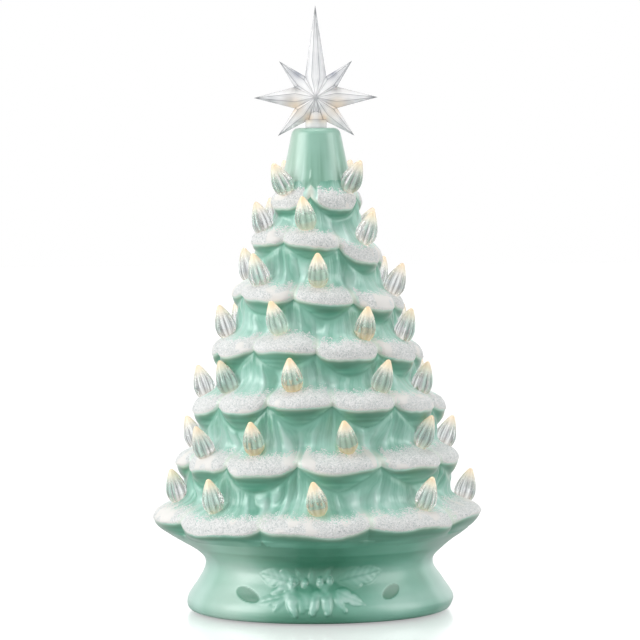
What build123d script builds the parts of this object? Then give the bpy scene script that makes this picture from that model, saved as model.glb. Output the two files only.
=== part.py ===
# Ceramic tabletop tree: a hollow glazed shell with seven tiers of drooping branches, clear bulbs,
# a faceted star and a battery lamp unit in the foot.
# Millimetres, +Z up, origin under the middle of the foot, front towards -Y.
# Azimuths are degrees from the front, positive towards +X.
import os
from collections import namedtuple
from math import cos, pi, radians, sin

from build123d import *

os.makedirs("parts", exist_ok=True)

# Foot of the shell, with its pads and the recess and ledge that carry the lamp tray
PAD_THICKNESS = 1.0
PAD_RADIUS = 6.0
PAD_COUNT = 4
PAD_ANGLE = 45.0
RECESS_DEPTH = 4.0
LEDGE_WIDTH = 7.0
LEDGE_THICKNESS = 6.0
FOOT_RING_WIDTH = 20.0
FOOT_BULGE = 6.5
FOOT_BULGE_RISE = 6.0
NECK_STEP = 14.8
NECK_HEIGHT = 31.0
COVE_STEP = 4.2
COVE_HEIGHT = 21.0
FLARE_STEP = 13.7
FLARE_HEIGHT = 44.5
FLARE_WALL = 12.0
WALL = 5.0
TIP_WALL = 9.0

# Branch tiers, from the top down: where the branch tips reach, where the tier leaves the one above,
# how deep the valleys between branches are, how far the tier hangs to the right and to the front,
# how its bulbs lean out, the azimuths of its branches,
# and for each bulb its azimuth, its lift up the branch and its sway to the right
Tier = namedtuple("Tier", "tip_radius tip_height root_radius root_height valley tilt nod lean branches bulbs")
TIERS = (
    Tier(
        29.0, 256.5, 21.0, 272.0, 4.0, 0.0, 0.0, 27.0,
        branches=(-50, 33, 115, 205),
        bulbs=((-47, -1.5, -8), (54, 0, 6), (138, 0, 0), (218, 0, 0)),
    ),
    Tier(
        42.3, 227.0, 25.5, 248.0, 6.0, 6.0, -4.0, 20.0,
        branches=(-62, -6, 50, 112, 178, 238),
        bulbs=((-64, -6, -14), (-13, 0, -10), (51, -6, -5), (123, 0, 0), (178, 0, 0), (236, 0, 0)),
    ),
    Tier(
        54.3, 196.0, 37.8, 213.0, 7.0, 4.0, 0.0, 18.0,
        branches=(-94, -42, 6, 50, 102, 158, 212),
        bulbs=((-105, 0, 0), (-50, -2, -9), (0, 2.5, -5), (88, -4, 1), (122, 0, 0), (188, 0, 0)),
    ),
    Tier(
        66.2, 162.5, 47.0, 184.0, 7.0, 1.0, -1.5, 19.0,
        branches=(-98, -62, -21, 19, 58, 98, 138, 180, 221),
        bulbs=(
            (-89, -3, 0), (-26, 2.5, -10), (32, -1.5, -4), (69, -3.5, 1),
            (113, 0, 0), (158, 0, 0), (202, 0, 0), (245, 0, 0),
        ),
    ),
    Tier(
        79.8, 128.0, 58.0, 149.0, 7.0, 0.0, -3.0, 18.0,
        branches=(-102, -72, -40, -10, 24, 56, 90, 124, 158, 192, 226),
        bulbs=(
            (-94, -6, -7), (-58, -1.5, -9), (-13, 0.5, -3), (35, -1.5, 9), (75, -4, -6),
            (113, 0, 0), (149, 0, 0), (190, 0, 0), (229, 0, 0),
        ),
    ),
    Tier(
        89.0, 94.5, 70.0, 113.0, 6.5, 0.0, 0.0, 22.0,
        branches=(-113, -83, -57, -27, 9, 46, 82, 117, 151, 185, 218),
        bulbs=(
            (-107, -4, 0), (-57, -5.5, -3), (-30, 1, 3), (14, 3, -13), (57, 2.5, 11),
            (93, -3, 12), (131, 0, 0), (172, 0, 0), (213, 0, 0),
        ),
    ),
    Tier(
        103.7, 61.5, 79.5, 78.0, 5.0, 0.0, 0.0, 16.0,
        branches=(-78, -40, -2, 38, 77, 117, 158, 200, 241),
        bulbs=(
            (-80, 1.5, 8), (-44, -2, -1), (0, -1, -10), (45, -1.5, 8),
            (92, -4, 6), (135, 0, 0), (180, 0, 0), (223, 0, 0),
        ),
    ),
)
TIER_OVERLAP = 4.0
SKIRT_SINK = 5.5
SKIRT_REACH = 2.0
SKIRT_RISE = 1.0
TIER_SECTIONS = 9

# Shape of a branch, as shares of its own rise and reach
LIP_RISE = 0.28
LIP_REACH = 0.16
CHIN_DROP = 0.36
CHIN_REACH = 0.2
SEAT_DROP = 0.43
SEAT_REACH = 0.44
SEAT_VALLEY = 0.85

# Trunk top
TRUNK_BASE_RADIUS = 22.6
TRUNK_SINK = 6.0
TRUNK_RADIUS = 14.8
TRUNK_LENGTH = 38.0
TRUNK_ROUND = 4.0
TRUNK_ROOF = 10.0

# Bulbs, with the shares of the height and of the radius and the depth of the grooves at each ring
BULB_RADIUS = 6.4
BULB_HEIGHT = 21.5
BULB_RIDGES = 10
BULB_RINGS = (
    (0.0, 0.61, 0.0),
    (0.1, 0.84, 0.06),
    (0.29, 1.0, 0.1),
    (0.54, 0.83, 0.1),
    (0.79, 0.45, 0.03),
    (0.96, 0.17, 0.0),
)
PEG_RADIUS = 2.5
PEG_LENGTH = 8.0
PEG_CLEARANCE = 0.25
SEAT_SINK = 1.0
SEAT_DEPTH = 4.0
SEAT_CLEARANCE = 0.3
HOLE_DEPTH = 18.0

# Star: the lengths of its rays, from the top one round to the one over the stem, and the notches between rays
STAR_GAP = 2.0
STAR_TOP_RAY = 58.0
STAR_UPPER_RAY = 32.5
STAR_SIDE_RAY = 39.0
STAR_LOWER_RAY = 34.0
STAR_STEM_RAY = 17.0
STAR_NOTCH_SHIFT = 4.0
STAR_NOTCH_RADIUS = 15.0
STAR_HALF_DEPTH = 8.0
STAR_SHOULDER = 13.0
STAR_SHOULDER_HALF = 2.6
STEM_RADIUS = 4.0
COLLAR_RADIUS = 6.75
COLLAR_HEIGHT = 5.0
STAR_PEG_RADIUS = 4.4
STAR_PEG_LENGTH = 14.0
STAR_PEG_CLEARANCE = 0.1
STAR_PEG_END_GAP = 1.0

# Cells and contacts
CELL_RADIUS = 7.1
CELL_LENGTH = 49.2
NUB_RADIUS = 2.7
NUB_LENGTH = 1.3
CELL_GAP = 0.6
CELL_COUNT = 3
CONTACT_THICKNESS = 0.5
CONTACT_REACH = 4.0
CONTACT_HALF_WIDTH = 5.5
CONTACT_HEIGHT = 11.0
SPRING_WIRE_RADIUS = 0.5
SPRING_RADIUS = 4.0
SPRING_TIP_RADIUS = 2.4
DIMPLE_RADIUS = 2.6
SOLDER_TAB_WIDTH = 3.0
SOLDER_TAB_RISE = 3.0

# Lamp tray, door and screws
TRAY_CLEARANCE = 0.5
TRAY_RIM = 16.0
FLANGE_THICKNESS = 3.0
BOX_WALL = 2.0
BOX_HEADROOM = 0.8
BOX_CORNER = 2.0
DOOR_THICKNESS = 2.0
DOOR_CLEARANCE = 0.3
DOOR_MARGIN = 3.0
DOOR_CORNER = 5.0
BOSS_RADIUS = 3.5
BOSS_RISE = 10.0
SCREW_RADIUS = 1.25
SCREW_HEAD_RADIUS = 2.6
SCREW_LENGTH = 8.0
SCREW_CLEARANCE = 0.1
SCREW_HEAD_ANGLE = 90.0
CELL_REST_GAP = 0.3

# Switch
SWITCH_SETBACK = 37.0
SWITCH_LENGTH = 20.0
SWITCH_WIDTH = 8.0
SWITCH_RISE = 6.0
SWITCH_TRAVEL = 8.0
SWITCH_SLOT_DEPTH = 3.0
STEM_SIZE = 3.0
STEM_CLEARANCE = 0.3
KNOB_LENGTH = 6.0
KNOB_WIDTH = 5.0
KNOB_PROUD = 0.8
KNOB_GAP = 0.1
LUG_COUNT = 3
LUG_PITCH = 5.0
LUG_SIZE = 1.2
LUG_RISE = 3.0

# Lamp post, board and diodes
POST_RADIUS = 8.0
POST_BORE = 6.0
POST_TOP = 150.0
POST_CLEARANCE = 0.1
SOCKET_WALL = 2.0
SOCKET_RISE = 10.0
WIRE_SLOT = 4.0
BOARD_RADIUS = 15.0
BOARD_THICKNESS = 1.6
LED_RADIUS = 2.5
LED_RIM = 0.4
LED_RIM_THICKNESS = 1.0
LED_RISE = 5.0
LED_CIRCLE = 11.0
LED_COUNT = 6
WIRE_RADIUS = 0.7
WIRE_BEND = 2.5
WIRE_RISE = 1.2
WIRE_OFFSET = 3.0

# Levels and spans that follow from the sizes above
FULL_TURN = 360
trunk_base = TIERS[0].root_height - TRUNK_SINK
trunk_top = trunk_base + TRUNK_LENGTH
star_middle = trunk_top + STAR_GAP + STAR_STEM_RAY
recess_radius = SWITCH_SETBACK + SWITCH_WIDTH / 2 + TRAY_RIM
ledge_radius = recess_radius - LEDGE_WIDTH
foot_edge_radius = recess_radius + FOOT_RING_WIDTH
foot_radius = foot_edge_radius + FOOT_BULGE
neck_radius = recess_radius + NECK_STEP
cove_radius = neck_radius + COVE_STEP
flare_radius = neck_radius + FLARE_STEP
foot_level = PAD_THICKNESS
ledge_level = foot_level + RECESS_DEPTH
cavity_level = ledge_level + LEDGE_THICKNESS
flange_level = ledge_level - FLANGE_THICKNESS
door_top = flange_level + DOOR_THICKNESS
cell_level = door_top + CELL_REST_GAP + CELL_RADIUS
roof_inside = cell_level + CELL_RADIUS + BOX_HEADROOM
roof_level = roof_inside + BOX_WALL
cell_pitch = 2 * CELL_RADIUS + CELL_GAP
cell_span = CELL_LENGTH + NUB_LENGTH
box_length = cell_span + 2 * CONTACT_REACH
box_width = CELL_COUNT * cell_pitch + CELL_GAP
boss_offset = box_length / 2 + BOX_WALL + BOSS_RADIUS
door_length = 2 * (boss_offset + BOSS_RADIUS + DOOR_MARGIN / 2)
door_width = box_width + 2 * DOOR_MARGIN
wire_level = roof_level + WIRE_RISE
switch_top = ledge_level + SWITCH_RISE
knob_home = -SWITCH_TRAVEL / 2


# Plane across a tier at a height, hanging with the tier
def tier_plane(tier, height):
    hang = Pos(0, 0, tier.tip_height) * Rot(tier.nod, tier.tilt, 0)
    return Plane(hang * Pos(0, 0, height - tier.tip_height))


# Point at an azimuth and radius in a level plane
def around(azimuth, radius):
    return (radius * sin(radians(azimuth)), -radius * cos(radians(azimuth)))


# Radius and height of the spot on a branch where its bulb stands
def bulb_seat(tier):
    reach = tier.tip_radius - tier.root_radius
    rise = tier.root_height - tier.tip_height
    return tier.root_radius + SEAT_REACH * reach, tier.root_height - SEAT_DROP * rise


# Radius and height where a tier starts, hidden in what lies under it, and where its underside comes out
def tier_start(index):
    if TIERS[index] is TIERS[-1]:
        hidden = (flare_radius - SKIRT_SINK, FLARE_HEIGHT - TIER_OVERLAP)
        return hidden, (flare_radius + SKIRT_REACH, FLARE_HEIGHT + SKIRT_RISE)
    under = (TIERS[index + 1].root_radius, TIERS[index + 1].root_height)
    return (under[0] - TIER_OVERLAP, under[1] - TIER_OVERLAP), under


# Line along the crest of a tier's branches, from below its chin over the lip to its root
def crest_line(index):
    tier = TIERS[index]
    hidden, under = tier_start(index)
    reach = tier.tip_radius - tier.root_radius
    rise = tier.root_height - tier.tip_height
    chin_radius = tier.tip_radius - CHIN_REACH * (tier.tip_radius - under[0])
    chin_height = tier.tip_height - CHIN_DROP * (tier.tip_height - under[1])
    return Spline(
        hidden,
        under,
        (chin_radius, chin_height),
        (tier.tip_radius, tier.tip_height),
        (tier.tip_radius - LIP_REACH * reach, tier.tip_height + LIP_RISE * rise),
        bulb_seat(tier),
        (tier.root_radius, tier.root_height),
        (tier.root_radius - TIER_OVERLAP / 2, tier.root_height + TIER_OVERLAP),
    )


# Heights of the level sections of a tier, each with its radius on the branches and in the valleys
def tier_sections(index):
    crest = crest_line(index)
    sections = []
    for number in range(TIER_SECTIONS + 1):
        share = number / TIER_SECTIONS
        point = crest @ share
        sections.append((point.Y, point.X, point.X - TIERS[index].valley * sin(pi * share)))
    return sections


# Scalloped outline of a tier: one curve over each branch, meeting its neighbours in the valleys
def scallops(azimuths, branch_radius, valley_radius):
    for index, azimuth in enumerate(azimuths):
        before = azimuths[index - 1] - (FULL_TURN if index == 0 else 0)
        after = azimuths[(index + 1) % len(azimuths)] + (FULL_TURN if index == len(azimuths) - 1 else 0)
        start = Vector(*around((before + azimuth) / 2, valley_radius))
        stop = Vector(*around((azimuth + after) / 2, valley_radius))
        crest = Vector(*around(azimuth, branch_radius))
        Bezier(start, crest * 2 - (start + stop) / 2, stop)


# How far an azimuth lies from the crest of its branch: 0 on the crest, 1 in the valley beside it
def valley_share(branches, azimuth):
    past = min((azimuth - branch) % FULL_TURN for branch in branches)
    ahead = min((branch - azimuth) % FULL_TURN for branch in branches)
    return 2 * min(past, ahead) / (past + ahead) if past else 0.0


# Places of a tier's bulbs, with Z along the bulb
def bulb_places(tier):
    radius, height = bulb_seat(tier)
    slope = Vector(tier.tip_radius - tier.root_radius, tier.root_height - tier.tip_height).normalized()
    places = []
    for azimuth, lift, sway in tier.bulbs:
        dip = SEAT_VALLEY * tier.valley * valley_share(tier.branches, azimuth) ** 2
        level = tier_plane(tier, height + lift * slope.Y).location
        stand = Pos(0, dip + lift * slope.X - radius, 0) * Rot(tier.lean, sway, 0) * Pos(0, 0, -SEAT_SINK)
        places.append(level * Rot(0, 0, azimuth) * stand)
    return places


# Tree shell
with BuildPart() as tree_shell:
    for index, tier in enumerate(TIERS):
        for height, branch_radius, valley_radius in tier_sections(index):
            with BuildSketch(tier_plane(tier, height)):
                with BuildLine():
                    scallops(tier.branches, branch_radius, valley_radius)
                make_face()
        loft()
    # Foot with its bulge, cove and flare, up into the lowest tier
    with BuildSketch(Plane.XZ):
        with BuildLine():
            Line((0, foot_level), (foot_edge_radius, foot_level))
            Spline(
                (foot_edge_radius, foot_level),
                (foot_radius, foot_level + FOOT_BULGE_RISE),
                (cove_radius, COVE_HEIGHT),
                (neck_radius, NECK_HEIGHT),
                tangents=((1, 0), (0, 1)),
            )
            Spline((neck_radius, NECK_HEIGHT), (flare_radius, FLARE_HEIGHT), tangents=((0, 1), (1, 1)))
            Polyline((flare_radius, FLARE_HEIGHT), (0, FLARE_HEIGHT), (0, foot_level))
        make_face()
    revolve(axis=Axis.Z)
    # Tapered trunk top with a rounded rim
    with BuildSketch(Plane.XZ):
        with BuildLine():
            Polyline(
                (0, trunk_base),
                (TRUNK_BASE_RADIUS, trunk_base),
                (TRUNK_RADIUS, trunk_top),
                (0, trunk_top),
                close=True,
            )
        rim = make_face().vertices().sort_by(Axis.Y)[-2:].sort_by(Axis.X)[-1]
        fillet(rim, TRUNK_ROUND)
    revolve(axis=Axis.Z)
    # Hollow that follows the tiers, with the ledge and recess for the lamp tray
    with BuildSketch(Plane.XZ):
        hollow = [(flare_radius - FLARE_WALL, FLARE_HEIGHT), (neck_radius - WALL, NECK_HEIGHT)]
        hollow += [(foot_radius - 2 * WALL, cavity_level)]
        hollow += [(ledge_radius, cavity_level), (ledge_radius, ledge_level)]
        hollow += [(recess_radius, ledge_level), (recess_radius, 0), (0, 0)]
        hollow += [(0, trunk_top - TRUNK_ROOF), (TRUNK_RADIUS - WALL, trunk_top - TRUNK_ROOF)]
        for tier in TIERS:
            hollow.append((tier.root_radius - WALL, tier.root_height))
            hollow.append((tier.tip_radius - tier.valley - TIP_WALL, tier.tip_height))
        with BuildLine():
            Polyline(*hollow, close=True)
        make_face()
    revolve(axis=Axis.Z, mode=Mode.SUBTRACT)
    # Holes for the star and for the bulbs
    with Locations((0, 0, trunk_top)):
        Hole(radius=STAR_PEG_RADIUS + STAR_PEG_CLEARANCE, depth=STAR_PEG_LENGTH + STAR_PEG_END_GAP)
    for tier in TIERS:
        with Locations([place * Pos(0, 0, SEAT_DEPTH) for place in bulb_places(tier)]):
            CounterBoreHole(
                radius=PEG_RADIUS + PEG_CLEARANCE,
                counter_bore_radius=BULB_RADIUS + SEAT_CLEARANCE,
                counter_bore_depth=SEAT_DEPTH,
                depth=SEAT_DEPTH + HOLE_DEPTH,
            )
tree_shell.part.label = "tree_shell"
export_step(tree_shell.part, "parts/tree_shell.step")


# One bulb with its peg, standing on the origin: a flame whose ridges fade out towards the tip
with BuildPart() as bulb:
    ridges = [index * FULL_TURN / BULB_RIDGES for index in range(BULB_RIDGES)]
    rings = []
    for rise, share, groove in BULB_RINGS:
        with BuildSketch(Plane.XY.offset(rise * BULB_HEIGHT)) as ring:
            with BuildLine():
                scallops(ridges, share * BULB_RADIUS, (share - groove) * BULB_RADIUS)
            make_face()
        rings.append(ring.sketch)
    loft(sections=rings + [Vertex(0, 0, BULB_HEIGHT)])
    Cylinder(PEG_RADIUS, PEG_LENGTH, align=(Align.CENTER, Align.CENTER, Align.MAX))

# Bulbs of each tier
for number, tier in enumerate(TIERS, start=1):
    with BuildPart() as bulbs:
        with Locations(bulb_places(tier)):
            add(bulb.part)
    bulbs.part.label = f"bulbs_tier_{number}"
    export_step(bulbs.part, f"parts/bulbs_tier_{number}.step")


# Lengths of the rays, clockwise from the top one
star_rays = (STAR_TOP_RAY, STAR_UPPER_RAY, STAR_SIDE_RAY, STAR_LOWER_RAY)
star_rays += (STAR_STEM_RAY, STAR_LOWER_RAY, STAR_SIDE_RAY, STAR_UPPER_RAY)
ray_step = FULL_TURN / len(star_rays)


# Point of the star at an angle from straight up, a distance from its middle and a depth
def star_point(angle, distance, depth=0.0):
    return Vector(distance * sin(radians(angle)), depth, star_middle + distance * cos(radians(angle)))


# Angle of the notch before a ray, set off towards the shorter neighbour
def notch_angle(index):
    before, after = star_rays[index - 1], star_rays[index % len(star_rays)]
    middle = (index - 1 / 2) * ray_step
    return middle + (STAR_NOTCH_SHIFT if before > after else -STAR_NOTCH_SHIFT)


# Facets of one ray on one side: a flat kite from the middle to the tip, with two slopes at each side
def ray_facets(index, side):
    angle = index * ray_step
    length = star_rays[index]
    shoulder_depth = side * STAR_HALF_DEPTH * (1 - STAR_SHOULDER / length)
    middle = Vector(0, side * STAR_HALF_DEPTH, star_middle)
    tip = star_point(angle, length)
    sideways = star_point(angle + FULL_TURN / 4, STAR_SHOULDER_HALF) - star_point(angle, 0)
    shoulder = star_point(angle, STAR_SHOULDER, shoulder_depth)
    edges = (
        (shoulder - sideways, star_point(notch_angle(index), STAR_NOTCH_RADIUS)),
        (shoulder + sideways, star_point(notch_angle(index + 1), STAR_NOTCH_RADIUS)),
    )
    outlines = [(middle, edges[0][0], tip, edges[1][0])]
    for corner, notch in edges:
        outlines += [(middle, corner, notch), (corner, tip, notch)]
    return [Face(Wire.make_polygon(outline)) for outline in outlines]


# Star with stem, collar and peg
with BuildPart() as star_topper:
    facets = []
    for index in range(len(star_rays)):
        facets += ray_facets(index, -1) + ray_facets(index, 1)
    add(Solid(Shell(facets)))
    stem_length = star_middle - trunk_top - STAR_HALF_DEPTH
    with Locations((0, 0, trunk_top)):
        Cylinder(STEM_RADIUS, stem_length, align=(Align.CENTER, Align.CENTER, Align.MIN))
        Cylinder(COLLAR_RADIUS, COLLAR_HEIGHT, align=(Align.CENTER, Align.CENTER, Align.MIN))
        Cylinder(STAR_PEG_RADIUS, STAR_PEG_LENGTH, align=(Align.CENTER, Align.CENTER, Align.MAX))
star_topper.part.label = "star_topper"
export_step(star_topper.part, "parts/star_topper.step")

# Foot pads
with BuildPart() as foot_pads:
    with PolarLocations((recess_radius + foot_edge_radius) / 2, PAD_COUNT, start_angle=PAD_ANGLE):
        Cylinder(PAD_RADIUS, PAD_THICKNESS, align=(Align.CENTER, Align.CENTER, Align.MIN))
foot_pads.part.label = "foot_pads"
export_step(foot_pads.part, "parts/foot_pads.step")

# Places on both ends of the battery box where the door is screwed down
screw_places = [(-boss_offset, 0), (boss_offset, 0)]
# Places of the two solder tabs that come up through the roof of the box
tab_offset = box_length / 2 - CONTACT_THICKNESS / 2
tab_places = [(tab_offset, -cell_pitch), (-tab_offset, cell_pitch)]

# Lamp tray: flange, battery box, bosses and post socket in one moulding
with BuildPart() as lamp_tray:
    with BuildSketch(Plane.XY.offset(flange_level)):
        Circle(recess_radius - TRAY_CLEARANCE)
    extrude(amount=FLANGE_THICKNESS)
    with BuildSketch(Plane.XY.offset(flange_level)):
        RectangleRounded(box_length + 2 * BOX_WALL, box_width + 2 * BOX_WALL, BOX_CORNER)
    extrude(amount=roof_level - flange_level)
    with BuildSketch(Plane.XY.offset(flange_level)):
        with Locations(screw_places):
            Circle(BOSS_RADIUS)
    extrude(amount=BOSS_RISE + DOOR_THICKNESS)
    with BuildSketch(Plane.XY.offset(roof_level)):
        Circle(POST_RADIUS + POST_CLEARANCE + SOCKET_WALL)
        Circle(POST_RADIUS + POST_CLEARANCE, mode=Mode.SUBTRACT)
    extrude(amount=SOCKET_RISE)
    # Space for the cells, rebate for the door, pilot holes, switch slot
    with BuildSketch(Plane.XY.offset(flange_level)):
        Rectangle(box_length, box_width)
    extrude(amount=roof_inside - flange_level, mode=Mode.SUBTRACT)
    with BuildSketch(Plane.XY.offset(flange_level)):
        RectangleRounded(door_length + 2 * DOOR_CLEARANCE, door_width + 2 * DOOR_CLEARANCE, DOOR_CORNER)
    extrude(amount=DOOR_THICKNESS, mode=Mode.SUBTRACT)
    with BuildSketch(Plane.XY.offset(door_top)):
        with Locations(screw_places):
            Circle(SCREW_RADIUS + SCREW_CLEARANCE)
    extrude(amount=SCREW_LENGTH, mode=Mode.SUBTRACT)
    with BuildSketch(Plane.XY.offset(flange_level)):
        with Locations((0, -SWITCH_SETBACK)):
            Rectangle(STEM_SIZE + SWITCH_TRAVEL + 2 * STEM_CLEARANCE, STEM_SIZE + 2 * STEM_CLEARANCE)
    extrude(amount=FLANGE_THICKNESS, mode=Mode.SUBTRACT)
    # Slots for the solder tabs in the roof and for the wires in the socket
    with BuildSketch(Plane.XY.offset(roof_inside)):
        with Locations(tab_places):
            Rectangle(2 * CONTACT_THICKNESS, SOLDER_TAB_WIDTH + 2 * STEM_CLEARANCE)
    extrude(amount=BOX_WALL, mode=Mode.SUBTRACT)
    with BuildSketch(Plane.XY.offset(roof_level)):
        with Locations((POST_RADIUS, 0)):
            Rectangle(2 * POST_BORE, WIRE_SLOT)
        with Locations((0, -POST_RADIUS)):
            Rectangle(WIRE_SLOT, 2 * POST_BORE)
    extrude(amount=WIRE_SLOT, mode=Mode.SUBTRACT)
lamp_tray.part.label = "lamp_tray"
export_step(lamp_tray.part, "parts/lamp_tray.step")

# Battery door
with BuildPart() as battery_door:
    with BuildSketch(Plane.XY.offset(flange_level)):
        RectangleRounded(door_length, door_width, DOOR_CORNER)
    extrude(amount=DOOR_THICKNESS)
    with Locations([Location((x, y, flange_level), (180, 0, 0)) for x, y in screw_places]):
        CounterSinkHole(
            radius=SCREW_RADIUS + SCREW_CLEARANCE,
            counter_sink_radius=SCREW_HEAD_RADIUS + SCREW_CLEARANCE,
            depth=DOOR_THICKNESS,
            counter_sink_angle=SCREW_HEAD_ANGLE,
        )
battery_door.part.label = "battery_door"
export_step(battery_door.part, "parts/battery_door.step")

# Screws of the door
with BuildPart() as door_screws:
    with BuildSketch(Plane.XZ):
        with BuildLine():
            Polyline(
                (0, flange_level),
                (SCREW_HEAD_RADIUS, flange_level),
                (SCREW_RADIUS, flange_level + SCREW_HEAD_RADIUS - SCREW_RADIUS),
                (SCREW_RADIUS, flange_level + SCREW_LENGTH),
                (0, flange_level + SCREW_LENGTH + SCREW_RADIUS),
                close=True,
            )
        make_face()
    screw = revolve(axis=Axis.Z, mode=Mode.PRIVATE)
    with Locations(screw_places):
        add(screw)
door_screws.part.label = "door_screws"
export_step(door_screws.part, "parts/door_screws.step")


# Middle of a cell's row and the side its nub points to, row by row
def cell_row(row):
    return (row - (CELL_COUNT - 1) / 2) * cell_pitch, (1 if row % 2 == 0 else -1)


# Cells, each turned against its neighbour
for row in range(CELL_COUNT):
    with BuildPart() as cell:
        across, side = cell_row(row)
        with Locations(Location((-side * cell_span / 2, across, cell_level), (0, side * 90, 0))):
            Cylinder(CELL_RADIUS, CELL_LENGTH, align=(Align.CENTER, Align.CENTER, Align.MIN))
            Cylinder(NUB_RADIUS, cell_span, align=(Align.CENTER, Align.CENTER, Align.MIN))
    cell.part.label = f"cell_{row + 1}"
    export_step(cell.part, f"parts/cell_{row + 1}.step")


# Sheet of a contact on the end wall of the box, from one row to another
def contact_sheet(end, first_row, last_row):
    start = cell_row(first_row)[0] - CONTACT_HALF_WIDTH
    stop = cell_row(last_row)[0] + CONTACT_HALF_WIDTH
    with Locations((end * tab_offset, (start + stop) / 2, cell_level)):
        Box(CONTACT_THICKNESS, stop - start, CONTACT_HEIGHT)


# Conical spring that presses on the flat end of a cell, as a thin closed cone
def contact_spring(end, row):
    reach = CONTACT_REACH - CONTACT_THICKNESS
    base = end * (box_length / 2 - CONTACT_THICKNESS)
    with Locations(Location((base, cell_row(row)[0], cell_level), (0, -end * 90, 0))):
        Cone(SPRING_RADIUS, SPRING_TIP_RADIUS, reach, align=(Align.CENTER, Align.CENTER, Align.MIN))
        Cone(
            SPRING_RADIUS - SPRING_WIRE_RADIUS,
            SPRING_TIP_RADIUS - SPRING_WIRE_RADIUS,
            reach,
            align=(Align.CENTER, Align.CENTER, Align.MIN),
            mode=Mode.SUBTRACT,
        )


# Raised dimple that meets the nub of a cell
def contact_dimple(end, row):
    reach = CONTACT_REACH - CONTACT_THICKNESS
    base = end * (box_length / 2 - CONTACT_THICKNESS)
    with Locations(Location((base, cell_row(row)[0], cell_level), (0, -end * 90, 0))):
        Cylinder(DIMPLE_RADIUS, reach, align=(Align.CENTER, Align.CENTER, Align.MIN))


# Solder tab that comes up through the roof of the box
def solder_tab(place):
    rise = roof_level + SOLDER_TAB_RISE - cell_level
    with Locations((place[0], place[1], cell_level)):
        Box(CONTACT_THICKNESS, SOLDER_TAB_WIDTH, rise, align=(Align.CENTER, Align.CENTER, Align.MIN))


# Contacts
with BuildPart() as contact_positive:
    contact_sheet(1, 0, 0)
    contact_dimple(1, 0)
    solder_tab(tab_places[0])
with BuildPart() as contact_bridge_left:
    contact_sheet(-1, 0, 1)
    contact_spring(-1, 0)
    contact_dimple(-1, 1)
with BuildPart() as contact_bridge_right:
    contact_sheet(1, 1, 2)
    contact_spring(1, 1)
    contact_dimple(1, 2)
with BuildPart() as contact_negative:
    contact_sheet(-1, 2, 2)
    contact_spring(-1, 2)
    solder_tab(tab_places[1])
contacts = {
    "contact_positive": contact_positive,
    "contact_bridge_left": contact_bridge_left,
    "contact_bridge_right": contact_bridge_right,
    "contact_negative": contact_negative,
}
for label, contact in contacts.items():
    contact.part.label = label
    export_step(contact.part, f"parts/{label}.step")

# Switch body with its solder lugs
with BuildPart() as slide_switch:
    with Locations((0, -SWITCH_SETBACK, ledge_level)):
        Box(SWITCH_LENGTH, SWITCH_WIDTH, SWITCH_RISE, align=(Align.CENTER, Align.CENTER, Align.MIN))
        Box(
            STEM_SIZE + SWITCH_TRAVEL + 2 * STEM_CLEARANCE,
            STEM_SIZE + 2 * STEM_CLEARANCE,
            SWITCH_SLOT_DEPTH,
            align=(Align.CENTER, Align.CENTER, Align.MIN),
            mode=Mode.SUBTRACT,
        )
    with Locations((0, -SWITCH_SETBACK, switch_top)):
        with GridLocations(LUG_PITCH, 0, LUG_COUNT, 1):
            Box(LUG_SIZE, LUG_SIZE, LUG_RISE, align=(Align.CENTER, Align.CENTER, Align.MIN))
slide_switch.part.label = "slide_switch"
export_step(slide_switch.part, "parts/slide_switch.step")

# Switch knob with its stem, standing at ON
with BuildPart() as switch_knob:
    with Locations((knob_home, -SWITCH_SETBACK, flange_level - KNOB_PROUD)):
        Box(KNOB_LENGTH, KNOB_WIDTH, KNOB_PROUD - KNOB_GAP, align=(Align.CENTER, Align.CENTER, Align.MIN))
        Box(
            STEM_SIZE,
            STEM_SIZE,
            KNOB_PROUD + FLANGE_THICKNESS + SWITCH_SLOT_DEPTH - STEM_CLEARANCE,
            align=(Align.CENTER, Align.CENTER, Align.MIN),
        )
switch_knob.part.label = "switch_knob"
export_step(switch_knob.part, "parts/switch_knob.step")

# Lamp post
with BuildPart() as lamp_post:
    with BuildSketch(Plane.XY.offset(roof_level)):
        Circle(POST_RADIUS)
        Circle(POST_BORE, mode=Mode.SUBTRACT)
    extrude(amount=POST_TOP - roof_level)
    with BuildSketch(Plane.XY.offset(roof_level)):
        with Locations((POST_RADIUS, 0)):
            Rectangle(POST_RADIUS, WIRE_SLOT)
        with Locations((0, -POST_RADIUS)):
            Rectangle(WIRE_SLOT, POST_RADIUS)
    extrude(amount=WIRE_SLOT, mode=Mode.SUBTRACT)
lamp_post.part.label = "lamp_post"
export_step(lamp_post.part, "parts/lamp_post.step")

# Light board
with BuildPart() as led_board:
    with Locations((0, 0, POST_TOP)):
        Cylinder(BOARD_RADIUS, BOARD_THICKNESS, align=(Align.CENTER, Align.CENTER, Align.MIN))
led_board.part.label = "led_board"
export_step(led_board.part, "parts/led_board.step")

# Diodes on the board, one in the middle and the others round it
with BuildPart() as leds:
    with BuildSketch(Plane.XZ):
        with BuildLine():
            Polyline((0, LED_RISE + LED_RADIUS), (0, 0), (LED_RADIUS + LED_RIM, 0))
            Polyline(
                (LED_RADIUS + LED_RIM, 0),
                (LED_RADIUS + LED_RIM, LED_RIM_THICKNESS),
                (LED_RADIUS, LED_RIM_THICKNESS),
                (LED_RADIUS, LED_RISE),
            )
            RadiusArc((LED_RADIUS, LED_RISE), (0, LED_RISE + LED_RADIUS), -LED_RADIUS)
        make_face()
    led = revolve(axis=Axis.Z, mode=Mode.PRIVATE)
    with Locations((0, 0, POST_TOP + BOARD_THICKNESS)):
        add(led)
        with PolarLocations(LED_CIRCLE, LED_COUNT):
            add(led)
leds.part.label = "leds"
export_step(leds.part, "parts/leds.step")

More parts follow.
